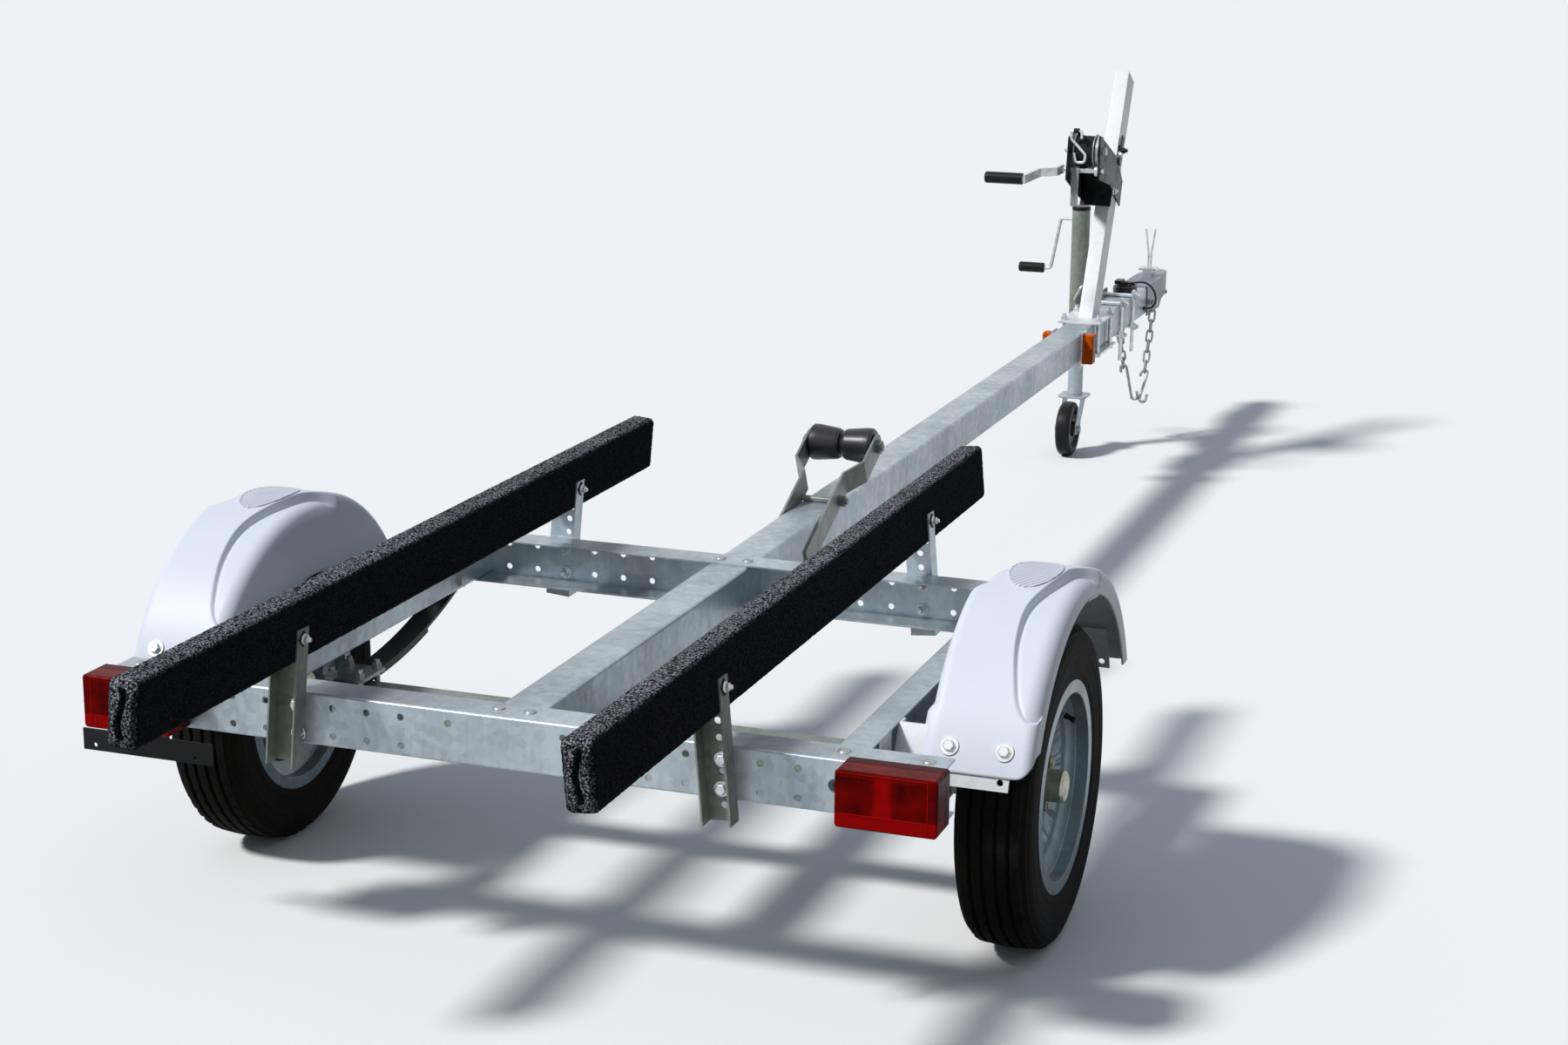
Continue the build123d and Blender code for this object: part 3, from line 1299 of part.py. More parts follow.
def build():
    write("main_beam", main_beam())
    write("rear_crossmember", rear_crossmember())
    write("front_crossmember", front_crossmember())
    write_sides("rail", right_rail())
    write("axle", axle())
    write_sides("leaf_spring", right_leaf_spring())
    write_sides("spring_hardware", *right_spring_hardware())
    write_sides("tyre", right_tyre())
    write_sides("rim", right_rim())
    write_sides("hub", right_hub())
    fender = right_fender()
    write("right_fender", fender)
    write("left_fender", end_for_end(0, fender))
    write_sides("fender_brackets", *right_fender_brackets())
    for side in bunk_sides:
        write(f"{side.name}_bunk", bunk(side))
        write(f"{side.name}_rear_bunk_bracket", bunk_bracket(side, 0.0, -1))
        write(f"{side.name}_front_bunk_bracket", bunk_bracket(side, front_cross_y, 1))
    behind_plate = Pos(0, -plate_bracket_thick, 0)
    write("right_tail_lamp", right_tail_lamp())
    write("right_tail_lens", right_tail_lens())
    write("left_tail_lamp", behind_plate * mirror(right_tail_lamp(), about=Plane.YZ))
    write("left_tail_lens", behind_plate * mirror(right_tail_lens(), about=Plane.YZ))
    write("plate_bracket", plate_bracket())
    base, lens = marker_pieces()
    write("marker_lamp_plates", base, mirror(base, about=Plane.YZ))
    write("marker_lamp_lenses", lens, mirror(lens, about=Plane.YZ))
    write("roller_bracket", roller_bracket())
    write("keel_roller", keel_roller())
    write("winch_post", winch_post())
    write("post_clamp", post_clamp(), *base_bolts())
    write("winch_frame", winch_frame())
    write("winch_drum", winch_drum())
    write("winch_strap", winch_strap())
    write("winch_hook", winch_hook())
    write("winch_handle", winch_handle())
    write("winch_handle_grip", winch_handle_grip())
    write("jack_bracket", jack_bracket())
    sleeve, cap = jack_sleeve()
    write("jack_sleeve", sleeve)
    write("jack_cap", cap)
    crank, grip = jack_crank()
    write("jack_crank", crank)
    write("jack_crank_grip", grip)
    write("jack_leg", jack_leg())
    write("jack_caster", jack_caster())
    write("jack_wheel", jack_wheel())
    write("coupler_body", coupler_body())
    write("coupler_latch", coupler_latch())
    write("chain_anchors", *chain_anchors())
    write("safety_chain", *safety_chain())
    write("harness_grommet", harness_grommet())
    write("harness_coil", harness_coil())
    write("harness_lead", harness_lead())
    write("harness_plug", harness_plug())


build()
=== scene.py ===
"""Looks of a single-axle boat trailer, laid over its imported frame.

Metres in the frame's own axes: +X to the trailer's right, +Y forward to the coupler, +Z up,
with the origin on the ground under the middle of the trailer.
"""
import json
import logging
from dataclasses import dataclass, replace
from enum import Enum
from functools import lru_cache
from math import acos, cos, pi, radians, sin

import bmesh
import bpy
import numpy as np
from mathutils import Matrix, Vector

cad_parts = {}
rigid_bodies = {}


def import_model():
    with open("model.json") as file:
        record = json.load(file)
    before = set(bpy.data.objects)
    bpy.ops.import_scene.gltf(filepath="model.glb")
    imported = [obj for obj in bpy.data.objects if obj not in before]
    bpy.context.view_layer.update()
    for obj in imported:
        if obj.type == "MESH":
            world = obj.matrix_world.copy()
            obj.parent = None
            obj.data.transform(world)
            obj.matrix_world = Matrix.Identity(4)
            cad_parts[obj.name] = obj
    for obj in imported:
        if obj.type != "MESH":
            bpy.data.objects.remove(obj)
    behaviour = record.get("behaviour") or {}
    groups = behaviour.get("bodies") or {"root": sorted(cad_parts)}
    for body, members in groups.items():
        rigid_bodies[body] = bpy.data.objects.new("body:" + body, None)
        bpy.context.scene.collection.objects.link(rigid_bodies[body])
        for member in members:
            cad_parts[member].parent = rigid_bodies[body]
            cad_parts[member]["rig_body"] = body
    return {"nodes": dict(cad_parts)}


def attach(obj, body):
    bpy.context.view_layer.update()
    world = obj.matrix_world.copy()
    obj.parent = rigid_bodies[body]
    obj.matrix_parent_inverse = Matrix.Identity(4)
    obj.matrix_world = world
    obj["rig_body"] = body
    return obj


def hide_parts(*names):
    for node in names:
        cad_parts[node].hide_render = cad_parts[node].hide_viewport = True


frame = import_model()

log = logging.getLogger("trailer")
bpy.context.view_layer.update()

Array = np.ndarray
Band = tuple[float, float]
Colour = tuple[float, float, float]
Point = tuple[float, float, float]
Shape = tuple[Array, Array]
Socket = bpy.types.NodeSocket

mm = 0.001
frame_middle_y = 2.0535     # from the rear crossmember's rear face to the origin
axle_y = 497.0              # millimetres, as place counts them
axle_z = 257.5
weld_gap = 0.002 * mm       # nearer points of a made piece become one
least_edge = 0.001 * mm     # shorter edges of a made piece go
node_weld_gap = 0.005 * mm  # nearer points of a frame node's copy become one
up: Point = (0.0, 0.0, 1.0)
to_rear: Point = (0.0, -1.0, 0.0)
to_front: Point = (0.0, 1.0, 0.0)
to_left: Point = (-1.0, 0.0, 0.0)
to_right: Point = (1.0, 0.0, 0.0)


def place(x: float, y: float, z: float) -> Point:
    """Point in metres from millimetres whose Y counts from the rear crossmember's rear face."""
    return (x * mm, y * mm - frame_middle_y, z * mm)


# Materials


@dataclass(frozen=True)
class Noise:
    """Cloudy pattern with cells of one part in scale of a metre, stretched by a scale on each axis."""

    scale: float
    detail: float = 3.0
    rough: float = 0.5
    stretch: Point = (1.0, 1.0, 1.0)


@dataclass(frozen=True)
class Patch:
    """Share that a noise gives: it goes over the out band while the noise goes over its own."""

    noise: Noise
    band: Band
    out: Band = (0.0, 1.0)


@dataclass(frozen=True)
class Relief:
    """Height that a noise gives: its depth in metres and the share of it that shows."""

    noise: Noise
    depth: float
    share: float


class NodeBench:
    """Node tree of a material or a world, with short calls that add and join its nodes."""

    def __init__(self, name: str, world: bool = False) -> None:
        """Start a material that holds one Principled shader, or a world that holds a background.

        Args:
            name: the material's or the world's name.
            world: whether it is a world.
        """
        self.owner = (bpy.data.worlds if world else bpy.data.materials).new(name)
        self.owner.use_nodes = True
        self.tree = self.owner.node_tree
        self.shader = self.tree.nodes["Background" if world else "Principled BSDF"]

    def node(self, kind: str, inputs: dict | None = None, **settings: str) -> bpy.types.Node:
        """Add a node.

        Args:
            kind: Blender's name of the node type.
            inputs: values or sockets for its inputs, by name or index.
            settings: properties of the node.
        Returns:
            The new node.
        """
        made = self.tree.nodes.new(kind)
        for key, value in settings.items():
            setattr(made, key, value)
        for key, value in (inputs or {}).items():
            self.feed(made.inputs[key], value)
        return made

    def feed(self, socket: Socket, value: Socket | Colour | float) -> None:
        """Join a socket to an input, or set the input's own value.

        Args:
            socket: the input.
            value: what it gets.
        """
        if isinstance(value, Socket):
            self.tree.links.new(value, socket)
        elif isinstance(value, tuple) and len(value) == 3 and socket.type == "RGBA":
            socket.default_value = (*value, 1.0)
        else:
            socket.default_value = value

    def set(self, **values: Socket | Colour | float) -> None:
        """Feed the shader's inputs, an underscore standing for each blank in their names."""
        for key, value in values.items():
            self.feed(self.shader.inputs[key.replace("_", " ")], value)

    def coordinates(self, scale: Point = (1.0, 1.0, 1.0)) -> Socket:
        """Object coordinates, stretched by a scale on each axis."""
        source = self.node("ShaderNodeTexCoord").outputs["Object"]
        return self.node("ShaderNodeMapping", {"Vector": source, "Scale": scale}).outputs[0]

    def parts(self, vector: Socket) -> list[Socket]:
        """The three numbers of a vector."""
        return list(self.node("ShaderNodeSeparateXYZ", {0: vector}).outputs)

    def noise(self, pattern: Noise) -> Socket:
        """A noise's value between 0 and 1."""
        inputs = {"Vector": self.coordinates(pattern.stretch), "Scale": pattern.scale,
                  "Detail": pattern.detail, "Roughness": pattern.rough}
        return self.node("ShaderNodeTexNoise", inputs).outputs[0]

    def cells(self, scale: float) -> bpy.types.Node:
        """Cells of one part in scale of a metre, each with a colour of its own."""
        return self.node("ShaderNodeTexVoronoi", {"Vector": self.coordinates(), "Scale": scale})

    def spread(self, value: Socket, band: Band, out: Band = (0.0, 1.0)) -> Socket:
        """Map a value's band onto another band, clamped.

        Args:
            value: the value.
            band: where it starts and ends.
            out: what it becomes there.
        Returns:
            The mapped value.
        """
        inputs = {"Value": value, "From Min": band[0], "From Max": band[1],
                  "To Min": out[0], "To Max": out[1]}
        return self.node("ShaderNodeMapRange", inputs).outputs[0]

    def patch(self, form: Patch) -> Socket:
        """A patch's share."""
        return self.spread(self.noise(form.noise), form.band, form.out)

    def mix(self, share: Socket, first: Socket | Colour, second: Socket | Colour) -> Socket:
        """Blend two colours.

        Args:
            share: the second colour's share, from 0 to 1.
            first: the colour at 0.
            second: the colour at 1.
        Returns:
            The blend.
        """
        made = self.node("ShaderNodeMix", data_type="RGBA")
        self.feed(made.inputs[0], share)
        self.feed(made.inputs[6], first)
        self.feed(made.inputs[7], second)
        return made.outputs[2]

    def sum(self, first: Socket, second: Socket | float, how: str = "ADD") -> Socket:
        """Add, multiply or otherwise join two values."""
        return self.node("ShaderNodeMath", {0: first, 1: second}, operation=how).outputs[0]

    def seen(self) -> Socket:
        """1 where a camera, glossy or transmission ray looks, else 0."""
        light = self.node("ShaderNodeLightPath")
        either = self.sum(light.outputs["Is Camera Ray"], light.outputs["Is Glossy Ray"], "MAXIMUM")
        return self.sum(either, light.outputs["Is Transmission Ray"], "MAXIMUM")

    def bump(self, height: Socket, depth: float, share: float = 1.0, under: Socket | None = None) -> Socket:
        """Normal that a height of 0 to 1 gives.

        Args:
            height: the height.
            depth: metres that a height of 1 stands for.
            share: strength of the bump.
            under: another normal that it lies on.
        Returns:
            The normal.
        """
        inputs = {"Height": height, "Distance": depth, "Strength": share}
        if under is not None:
            inputs["Normal"] = under
        return self.node("ShaderNodeBump", inputs).outputs[0]

    def relief(self, form: Relief, under: Socket | None = None) -> Socket:
        """Normal that a relief gives, on another where there is one."""
        return self.bump(self.noise(form.noise), form.depth, form.share, under)


@dataclass(frozen=True)
class Finish:
    """What a surface is made of: its material's name and the slot that it fills."""

    name: str
    slot: str

    def build(self) -> bpy.types.Material:
        """A new material with the finish's nodes."""
        bench = NodeBench(self.name)
        self.lay(bench)
        return bench.owner

    def lay(self, bench: NodeBench) -> None:
        """Join the nodes that give the look: none here."""


@dataclass(frozen=True)
class Galvanised(Finish):
    """Hot-dip zinc on steel: smooth grey with faint spangle, soft clouds and upright streaks."""

    name: str = "galvanised"
    slot: str = "galvanised_steel"
    # The blue cast of these tones is partly zinc's own colour and partly a painted reflection of blue sky.
    dark: Colour = (0.33, 0.38, 0.42)
    light: Colour = (0.54, 0.61, 0.66)
    stain: Colour = (0.22, 0.23, 0.20)
    stained: float = 0.30
    metallic: float = 0.6
    roughness: float = 0.36
    specular: float = 0.3
    spangle_scale: float = 75.0
    cloud: Noise = Noise(4.5, 4.0, 0.55)
    streak: Noise = Noise(46.0, 3.0, 0.6, (1.0, 1.0, 0.07))
    stains: Noise = Noise(17.0, 9.0, 0.78)
    stain_band: Band = (0.60, 0.76)
    pits: Relief = Relief(Noise(520.0), 0.1 * mm, 0.4)
    ripple: Relief = Relief(Noise(12.0, 2.0), 0.6 * mm, 0.25)
    shares: tuple[float, float, float] = (0.62, 0.26, 0.12)
    tone_band: Band = (0.36, 0.66)
    gloss_band: Band = (0.3, 0.7)
    gloss_steps: Band = (0.10, -0.05)

    def lay(self, bench: NodeBench) -> None:
        """Zinc crystals, each a shade of its own, under wide clouds and streaks where zinc ran."""
        cells = bench.cells(self.spangle_scale)
        shade = bench.node("ShaderNodeSeparateColor", {0: cells.outputs["Color"]}).outputs[0]
        layers = (bench.noise(self.cloud), bench.noise(self.streak), shade)
        clouds, streaks, shades = [bench.sum(layer, share, "MULTIPLY")
                                   for layer, share in zip(layers, self.shares)]
        tone = bench.sum(bench.sum(clouds, streaks), shades)
        colour = bench.mix(bench.spread(tone, self.tone_band), self.dark, self.light)
        stain_share = bench.spread(bench.noise(self.stains), self.stain_band, (0.0, self.stained))
        bench.set(Base_Color=bench.mix(stain_share, colour, self.stain))
        gloss = (self.roughness + self.gloss_steps[0], self.roughness + self.gloss_steps[1])
        bench.set(Roughness=bench.spread(tone, self.gloss_band, gloss))
        bench.set(Metallic=self.metallic, Specular_IOR_Level=self.specular)
        bench.set(Normal=bench.relief(self.ripple, bench.relief(self.pits)))


@dataclass(frozen=True)
class BrightZinc(Finish):
    """Electroplated zinc: brighter and smoother than a dipped coat."""

    name: str = "bright_zinc"
    slot: str = "bright_zinc"
    dark: Colour = (0.50, 0.52, 0.54)
    light: Colour = (0.78, 0.80, 0.82)
    metallic: float = 0.75
    roughness: float = 0.24
    rougher: float = 0.12
    cloud: Noise = Noise(60.0, 4.0, 0.6)
    tone_band: Band = (0.35, 0.7)
    gloss_band: Band = (0.3, 0.7)
    marks: Relief = Relief(Noise(600.0), 0.1 * mm, 0.4)

    def lay(self, bench: NodeBench) -> None:
        """Cloudy plating with fine drawing marks."""
        cloud = bench.noise(self.cloud)
        bench.set(Base_Color=bench.mix(bench.spread(cloud, self.tone_band), self.dark, self.light))
        gloss = (self.roughness + self.rougher, self.roughness)
        bench.set(Roughness=bench.spread(cloud, self.gloss_band, gloss))
        bench.set(Metallic=self.metallic, Normal=bench.relief(self.marks))


@dataclass(frozen=True)
class DustyCoat(Finish):
    """Paint or rubber in one colour, with dust that clings in soft patches, and a fine grain."""

    colour: Colour
    dust: Colour
    dusty: float
    roughness: float
    rougher: float
    specular: float
    patches: Noise
    patch_band: Band
    grain: Relief

    def lay(self, bench: NodeBench) -> None:
        """The colour, greyer and rougher where the dust lies."""
        patch = bench.spread(bench.noise(self.patches), self.patch_band, (0.0, self.dusty))
        bench.set(Base_Color=bench.mix(patch, self.colour, self.dust))
        gloss = (self.roughness, self.roughness + self.rougher)
        bench.set(Roughness=bench.spread(patch, (0.0, 0.5), gloss), Specular_IOR_Level=self.specular)
        bench.set(Normal=bench.relief(self.grain))


@dataclass(frozen=True)
class MouldedPlastic(Finish):
    """Grained moulded plastic in one colour, with faint scuffs."""

    name: str = "fender_plastic"
    slot: str = "fender_plastic"
    colour: Colour = (0.70, 0.735, 0.81)
    scuff: Colour = (0.77, 0.79, 0.84)
    # Dark colour of the painted shade in the rib grooves.
    painted_groove_shade: Colour = (0.26, 0.28, 0.33)
    roughness: float = 0.46
    rougher: float = 0.12
    specular: float = 0.40
    cloud: Patch = Patch(Noise(7.0, 4.0, 0.6), (0.35, 0.7), (0.0, 0.35))
    scuffs: Patch = Patch(Noise(45.0, 9.0, 0.8, (1.0, 0.25, 1.0)), (0.62, 0.74), (0.0, 0.5))
    grain: Relief = Relief(Noise(900.0), 0.08 * mm, 0.6)
    rib_pitch: float = 0.0
    rib_slant: float = -0.8
    groove_band: Band = (-0.75, -0.15)
    groove_share: float = 0.8

    def lay(self, bench: NodeBench) -> None:
        """Colour clouded a little, with long thin scuffs that are rougher.

        Where it has ribs, the grooves between them get painted shade: a wave of X and Y together.
        """
        scuff = bench.patch(self.scuffs)
        colour = bench.mix(scuff, bench.mix(bench.patch(self.cloud), self.colour, self.scuff), self.scuff)
        if self.rib_pitch:
            x, y, _ = bench.parts(bench.coordinates())
            slanted = bench.sum(x, bench.sum(y, self.rib_slant, "MULTIPLY"))
            wave = bench.sum(bench.sum(slanted, 2 * pi / self.rib_pitch, "MULTIPLY"), 0.0, "SINE")
            # Painted shade in the grooves between the ribs.
            groove = bench.spread(wave, self.groove_band, (self.groove_share, 0.0))
            colour = bench.mix(groove, colour, self.painted_groove_shade)
        bench.set(Base_Color=colour, Specular_IOR_Level=self.specular)
        gloss = (self.roughness, self.roughness + self.rougher)
        bench.set(Roughness=bench.spread(scuff, (0.0, 0.5), gloss))
        bench.set(Normal=bench.relief(self.grain))


@dataclass(frozen=True)
class PileCarpet(Finish):
    """Charcoal looped carpet with pale fibre tips, and painted shade on the boards' sides, where fewer tips
    show.
    """

    name: str = "bunk_carpet"
    slot: str = "bunk_carpet"
    colour: Colour = (0.0045, 0.0045, 0.0070)
    tip: Colour = (0.60, 0.61, 0.68)
    loop_scale: float = 330.0
    loop_band: Band = (0.10, 0.72)
    loop_depth: float = 1.0 * mm
    loop_share: float = 0.7
    pick_band: Band = (0.05, 0.75)
    side_band: Band = (0.45, 0.95)
    side_share: float = 0.06
    specular: float = 0.04
    wear: Patch = Patch(Noise(9.0, 5.0, 0.6), (0.35, 0.7), (0.7, 1.0))
    fibre: Relief = Relief(Noise(1500.0, 2.0), 0.4 * mm, 0.5)

    def lay(self, bench: NodeBench) -> None:
        """Loops as small cells, black in the gaps, with tips that catch the light."""
        cells = bench.cells(self.loop_scale)
        loop = bench.spread(cells.outputs["Distance"], self.loop_band, (1.0, 0.0))
        pick = bench.node("ShaderNodeSeparateColor", {0: cells.outputs["Color"]}).outputs[1]
        tips = bench.sum(bench.spread(pick, self.pick_band), loop, "MULTIPLY")
        normal = bench.node("ShaderNodeNewGeometry").outputs["Normal"]
        # Painted shade: faces that point sideways keep only a small share of the pale tips, so the boards'
        # sides render darker than their tops and ends.
        sideways = bench.sum(bench.parts(normal)[0], 0.0, "ABSOLUTE")
        painted_side_shade = bench.spread(sideways, self.side_band, (1.0, self.side_share))
        share = bench.sum(bench.sum(tips, bench.patch(self.wear), "MULTIPLY"), painted_side_shade, "MULTIPLY")
        bench.set(Base_Color=bench.mix(share, self.colour, self.tip))
        bench.set(Roughness=1.0, Specular_IOR_Level=self.specular)
        bench.set(Normal=bench.bump(loop, self.loop_depth, self.loop_share, bench.relief(self.fibre)))


@dataclass(frozen=True)
class LampPlastic(Finish):
    """Transparent coloured lens whose reflector shows through: a foot and a middle column brightened by
    painted reflection.

    The places and half width of these are in metres.
    """

    name: str = "red_lens"
    slot: str = "red_lens"
    deep: Colour = (0.080, 0.0004, 0.0004)
    bright: Colour = (0.42, 0.002, 0.002)
    reflector: bool = True
    column_x: float = 0.601
    column_half: float = 0.011
    column_top: float = 0.441
    painted_column_reflection: float = 0.55
    foot_z: float = 0.383
    painted_foot_reflection: float = 0.75
    cloud: Noise = Noise(26.0, 3.0, 0.55)
    cloud_band: Band = (0.38, 0.68)
    cloud_share: float = 0.35
    waver: Noise = Noise(35.0, 2.0)
    waver_reach: float = 12.0 * mm
    roughness: float = 0.2
    specular: float = 0.03
    index: float = 1.49

    def lay(self, bench: NodeBench) -> None:
        """A deep tone; a column beside the lamp's middle and a band at its foot are brighter: the reflector
        behind them is real, its brightness a painted reflection.
        """
        cloud = bench.spread(bench.noise(self.cloud), self.cloud_band)
        share = bench.sum(cloud, self.cloud_share, "MULTIPLY")
        # Painted reflection: the colour goes towards the bright red in a column and along the foot, where the
        # reflector lies behind the lens.
        if self.reflector:
            x, _, z = bench.parts(bench.coordinates())
            across = bench.sum(bench.sum(x, 0.0, "ABSOLUTE"), self.column_x, "SUBTRACT")
            waver = bench.sum(bench.noise(self.waver), self.waver_reach, "MULTIPLY")
            near = bench.sum(bench.sum(across, 0.0, "ABSOLUTE"), waver, "SUBTRACT")
            half = (self.column_half * 0.2, self.column_half)
            column = bench.spread(near, half, (self.painted_column_reflection, 0.0))
            below = bench.spread(z, (self.column_top - 4 * mm, self.column_top), (1.0, 0.0))
            foot = bench.spread(z, (self.foot_z - mm, self.foot_z + mm), (self.painted_foot_reflection, 0.0))
            share = bench.sum(share, bench.sum(column, below, "MULTIPLY"))
            share = bench.sum(share, foot, "MAXIMUM")
        bench.set(Base_Color=bench.mix(share, self.deep, self.bright))
        bench.set(Roughness=self.roughness, Specular_IOR_Level=self.specular, IOR=self.index)
        bench.set(Normal=bench.bump(cloud, 0.2 * mm, 0.2))


@dataclass(frozen=True)
class Webbing(Finish):
    """Woven strap with ribs across it."""

    name: str = "strap_webbing"
    slot: str = "strap_webbing"
    colour: Colour = (0.006, 0.006, 0.007)
    thread: Colour = (0.040, 0.040, 0.045)
    over_scale: float = 120.0
    under_scale: float = 160.0

    def lay(self, bench: NodeBench) -> None:
        """Weave from two crossed waves, the thread tops paler."""
        waves = [bench.node("ShaderNodeTexWave", {"Vector": bench.coordinates(), "Scale": scale},
                            bands_direction=way).outputs["Fac"]
                 for scale, way in ((self.over_scale, "X"), (self.under_scale, "Z"))]
        weave = bench.sum(*waves, "MULTIPLY")
        bench.set(Base_Color=bench.mix(weave, self.colour, self.thread))
        bench.set(Roughness=0.8, Specular_IOR_Level=0.25, Normal=bench.bump(weave, 0.6 * mm, 0.8))


@dataclass(frozen=True)
class PaleFloor(Finish):
    """Floor that looks pale and throws less light back on the trailer than its look would."""

    name: str = "floor"
    slot: str = "floor"
    look: Colour = (0.95, 0.94, 0.92)
    bounce: Colour = (0.14, 0.15, 0.12)

    def lay(self, bench: NodeBench) -> None:
        """The pale colour to rays that are seen, the darker one to the rest."""
        bench.set(Base_Color=bench.mix(bench.seen(), self.bounce, self.look))
        bench.set(Roughness=0.9, Specular_IOR_Level=0.1)


galvanised = Galvanised()
# Darker, greenish copy of the zinc: the green is a painted reflection of grass.
dark_zinc_painted_grass = Galvanised(name="dark_zinc_painted_grass", dark=(0.19, 0.22, 0.19), light=(0.34, 0.38, 0.33),
                             stained=0.4, metallic=0.18, roughness=0.40)
# Darker, bluish copy of the zinc for the rims: painted shade under the fenders and a painted reflection of
# blue sky.
rim_zinc_painted_shade_sky = Galvanised(name="rim_zinc_painted_shade_sky", dark=(0.18, 0.23, 0.25), light=(0.34, 0.42, 0.48),
                            spangle_scale=60.0, stained=0.12, metallic=0.3, roughness=0.28)
# Near-white copy of the zinc for the winch post and the fender strips: painted sunlight.
zinc_painted_sunlight = Galvanised(name="zinc_painted_sunlight", dark=(0.66, 0.68, 0.70), light=(0.84, 0.86, 0.88),
                             stained=0.05, metallic=0.1, roughness=0.30)
# Dark greenish copy of the zinc for the roller's arms: the green is a painted reflection of grass.
arm_zinc_painted_grass = Galvanised(name="arm_zinc_painted_grass", dark=(0.17, 0.20, 0.18), light=(0.30, 0.34, 0.31),
                            stained=0.2, metallic=0.25, roughness=0.30)
# Dark, bluish copy of the zinc for the coupler: the blue is a painted reflection of blue sky.
coupler_zinc_painted_sky = Galvanised(name="coupler_zinc_painted_sky", dark=(0.13, 0.16, 0.20),
                                light=(0.24, 0.29, 0.36), stained=0.2, metallic=0.18, roughness=0.32)
bright_zinc = BrightZinc()
dull_zinc = BrightZinc(name="dull_zinc", slot="galvanised_steel", dark=(0.30, 0.32, 0.33),
                       light=(0.50, 0.52, 0.54), metallic=0.6, roughness=0.32)
yellow_zinc = BrightZinc(name="yellow_zinc", dark=(0.30, 0.31, 0.24), light=(0.56, 0.54, 0.40),
                         roughness=0.22)
black_paint = DustyCoat(
    name="black_paint", slot="black_steel", colour=(0.006, 0.0065, 0.008), dust=(0.040, 0.038, 0.034),
    dusty=0.55, roughness=0.34, rougher=0.25, specular=0.2, patches=Noise(26.0, 7.0, 0.7),
    patch_band=(0.48, 0.72), grain=Relief(Noise(350.0), 0.2 * mm, 0.35))
fender_plastic = MouldedPlastic()
fender_pad = MouldedPlastic(name="fender_pad", colour=(0.67, 0.70, 0.77), rib_pitch=10 * mm)
black_plastic = MouldedPlastic(name="black_plastic", slot="black_plastic", colour=(0.006, 0.006, 0.007),
                               scuff=(0.025, 0.025, 0.027), roughness=0.34, specular=0.18,
                               grain=Relief(Noise(700.0), 0.08 * mm, 0.6))
carpet = PileCarpet()
tyre_rubber = DustyCoat(
    name="tyre_rubber", slot="tyre_rubber", colour=(0.0050, 0.0050, 0.0052), dust=(0.060, 0.052, 0.044),
    dusty=0.36, roughness=0.7, rougher=0.2, specular=0.05, patches=Noise(14.0, 8.0, 0.7),
    patch_band=(0.42, 0.74), grain=Relief(Noise(500.0, 4.0), 0.2 * mm, 0.6))
black_rubber = replace(tyre_rubber, name="black_rubber", slot="black_rubber", dusty=0.2, roughness=0.42,
                       specular=0.15)
roller_rubber = replace(tyre_rubber, name="roller_rubber", slot="black_rubber",
                        colour=(0.012, 0.012, 0.016), dusty=0.1, roughness=0.33, specular=0.42)
cord_jacket = MouldedPlastic(name="cord_jacket", slot="black_rubber", colour=(0.006, 0.006, 0.007),
                             scuff=(0.03, 0.03, 0.03), roughness=0.30,
                             grain=Relief(Noise(500.0), 0.08 * mm, 0.6))
red_lens = LampPlastic()
# Lens ribs in a brighter red than the lens: a painted highlight where the teeth and beads catch the light.
red_rib_painted_glint = LampPlastic(name="red_rib_painted_glint", deep=(0.38, 0.004, 0.004), bright=(0.55, 0.02, 0.02), reflector=False)
# Lamp bodies: deep red with a pink cast, which is a painted reflection of blue sky.
lamp_case = LampPlastic(name="lamp_case", deep=(0.050, 0.0015, 0.0040), bright=(0.14, 0.004, 0.012),
                        cloud=Noise(12.0, 3.0, 0.55), reflector=False)
amber_lens = LampPlastic(name="amber_lens", slot="amber_lens", deep=(0.52, 0.070, 0.002),
                         bright=(0.85, 0.19, 0.010), cloud=Noise(90.0, 3.0, 0.55), reflector=False)
webbing = Webbing()
# Pale copy of the black strap's webbing for its loose end: painted sunlight.
webbing_painted_sunlight = Webbing(name="webbing_painted_sunlight", colour=(0.45, 0.45, 0.50), thread=(0.80, 0.80, 0.84))

Softened = tuple[tuple[str, Finish, float], ...]


@lru_cache(maxsize=None)
def material_of(finish: Finish) -> bpy.types.Material:
    """The finish's material, made once."""
    return finish.build()


# Shapes


def full_turn(steps: int) -> Array:
    """Angles round a whole turn in equal steps, the first at 0."""
    return np.linspace(0.0, 2 * pi, steps, endpoint=False)


def unit(vectors: Point | Array) -> Array:
    """A vector, or each of several, at a length of 1."""
    return np.array(vectors, float) / np.linalg.norm(vectors, axis=-1, keepdims=True)


def placed(points: Array) -> Array:
    """Many points in metres, from millimetres that count as in place."""
    return points * mm - (0.0, frame_middle_y, 0.0)


def smooth_step(value: Array) -> Array:
    """0 below 0, 1 above 1, and between them three squares less two cubes."""
    held = np.clip(value, 0.0, 1.0)
    return held * held * (3 - 2 * held)


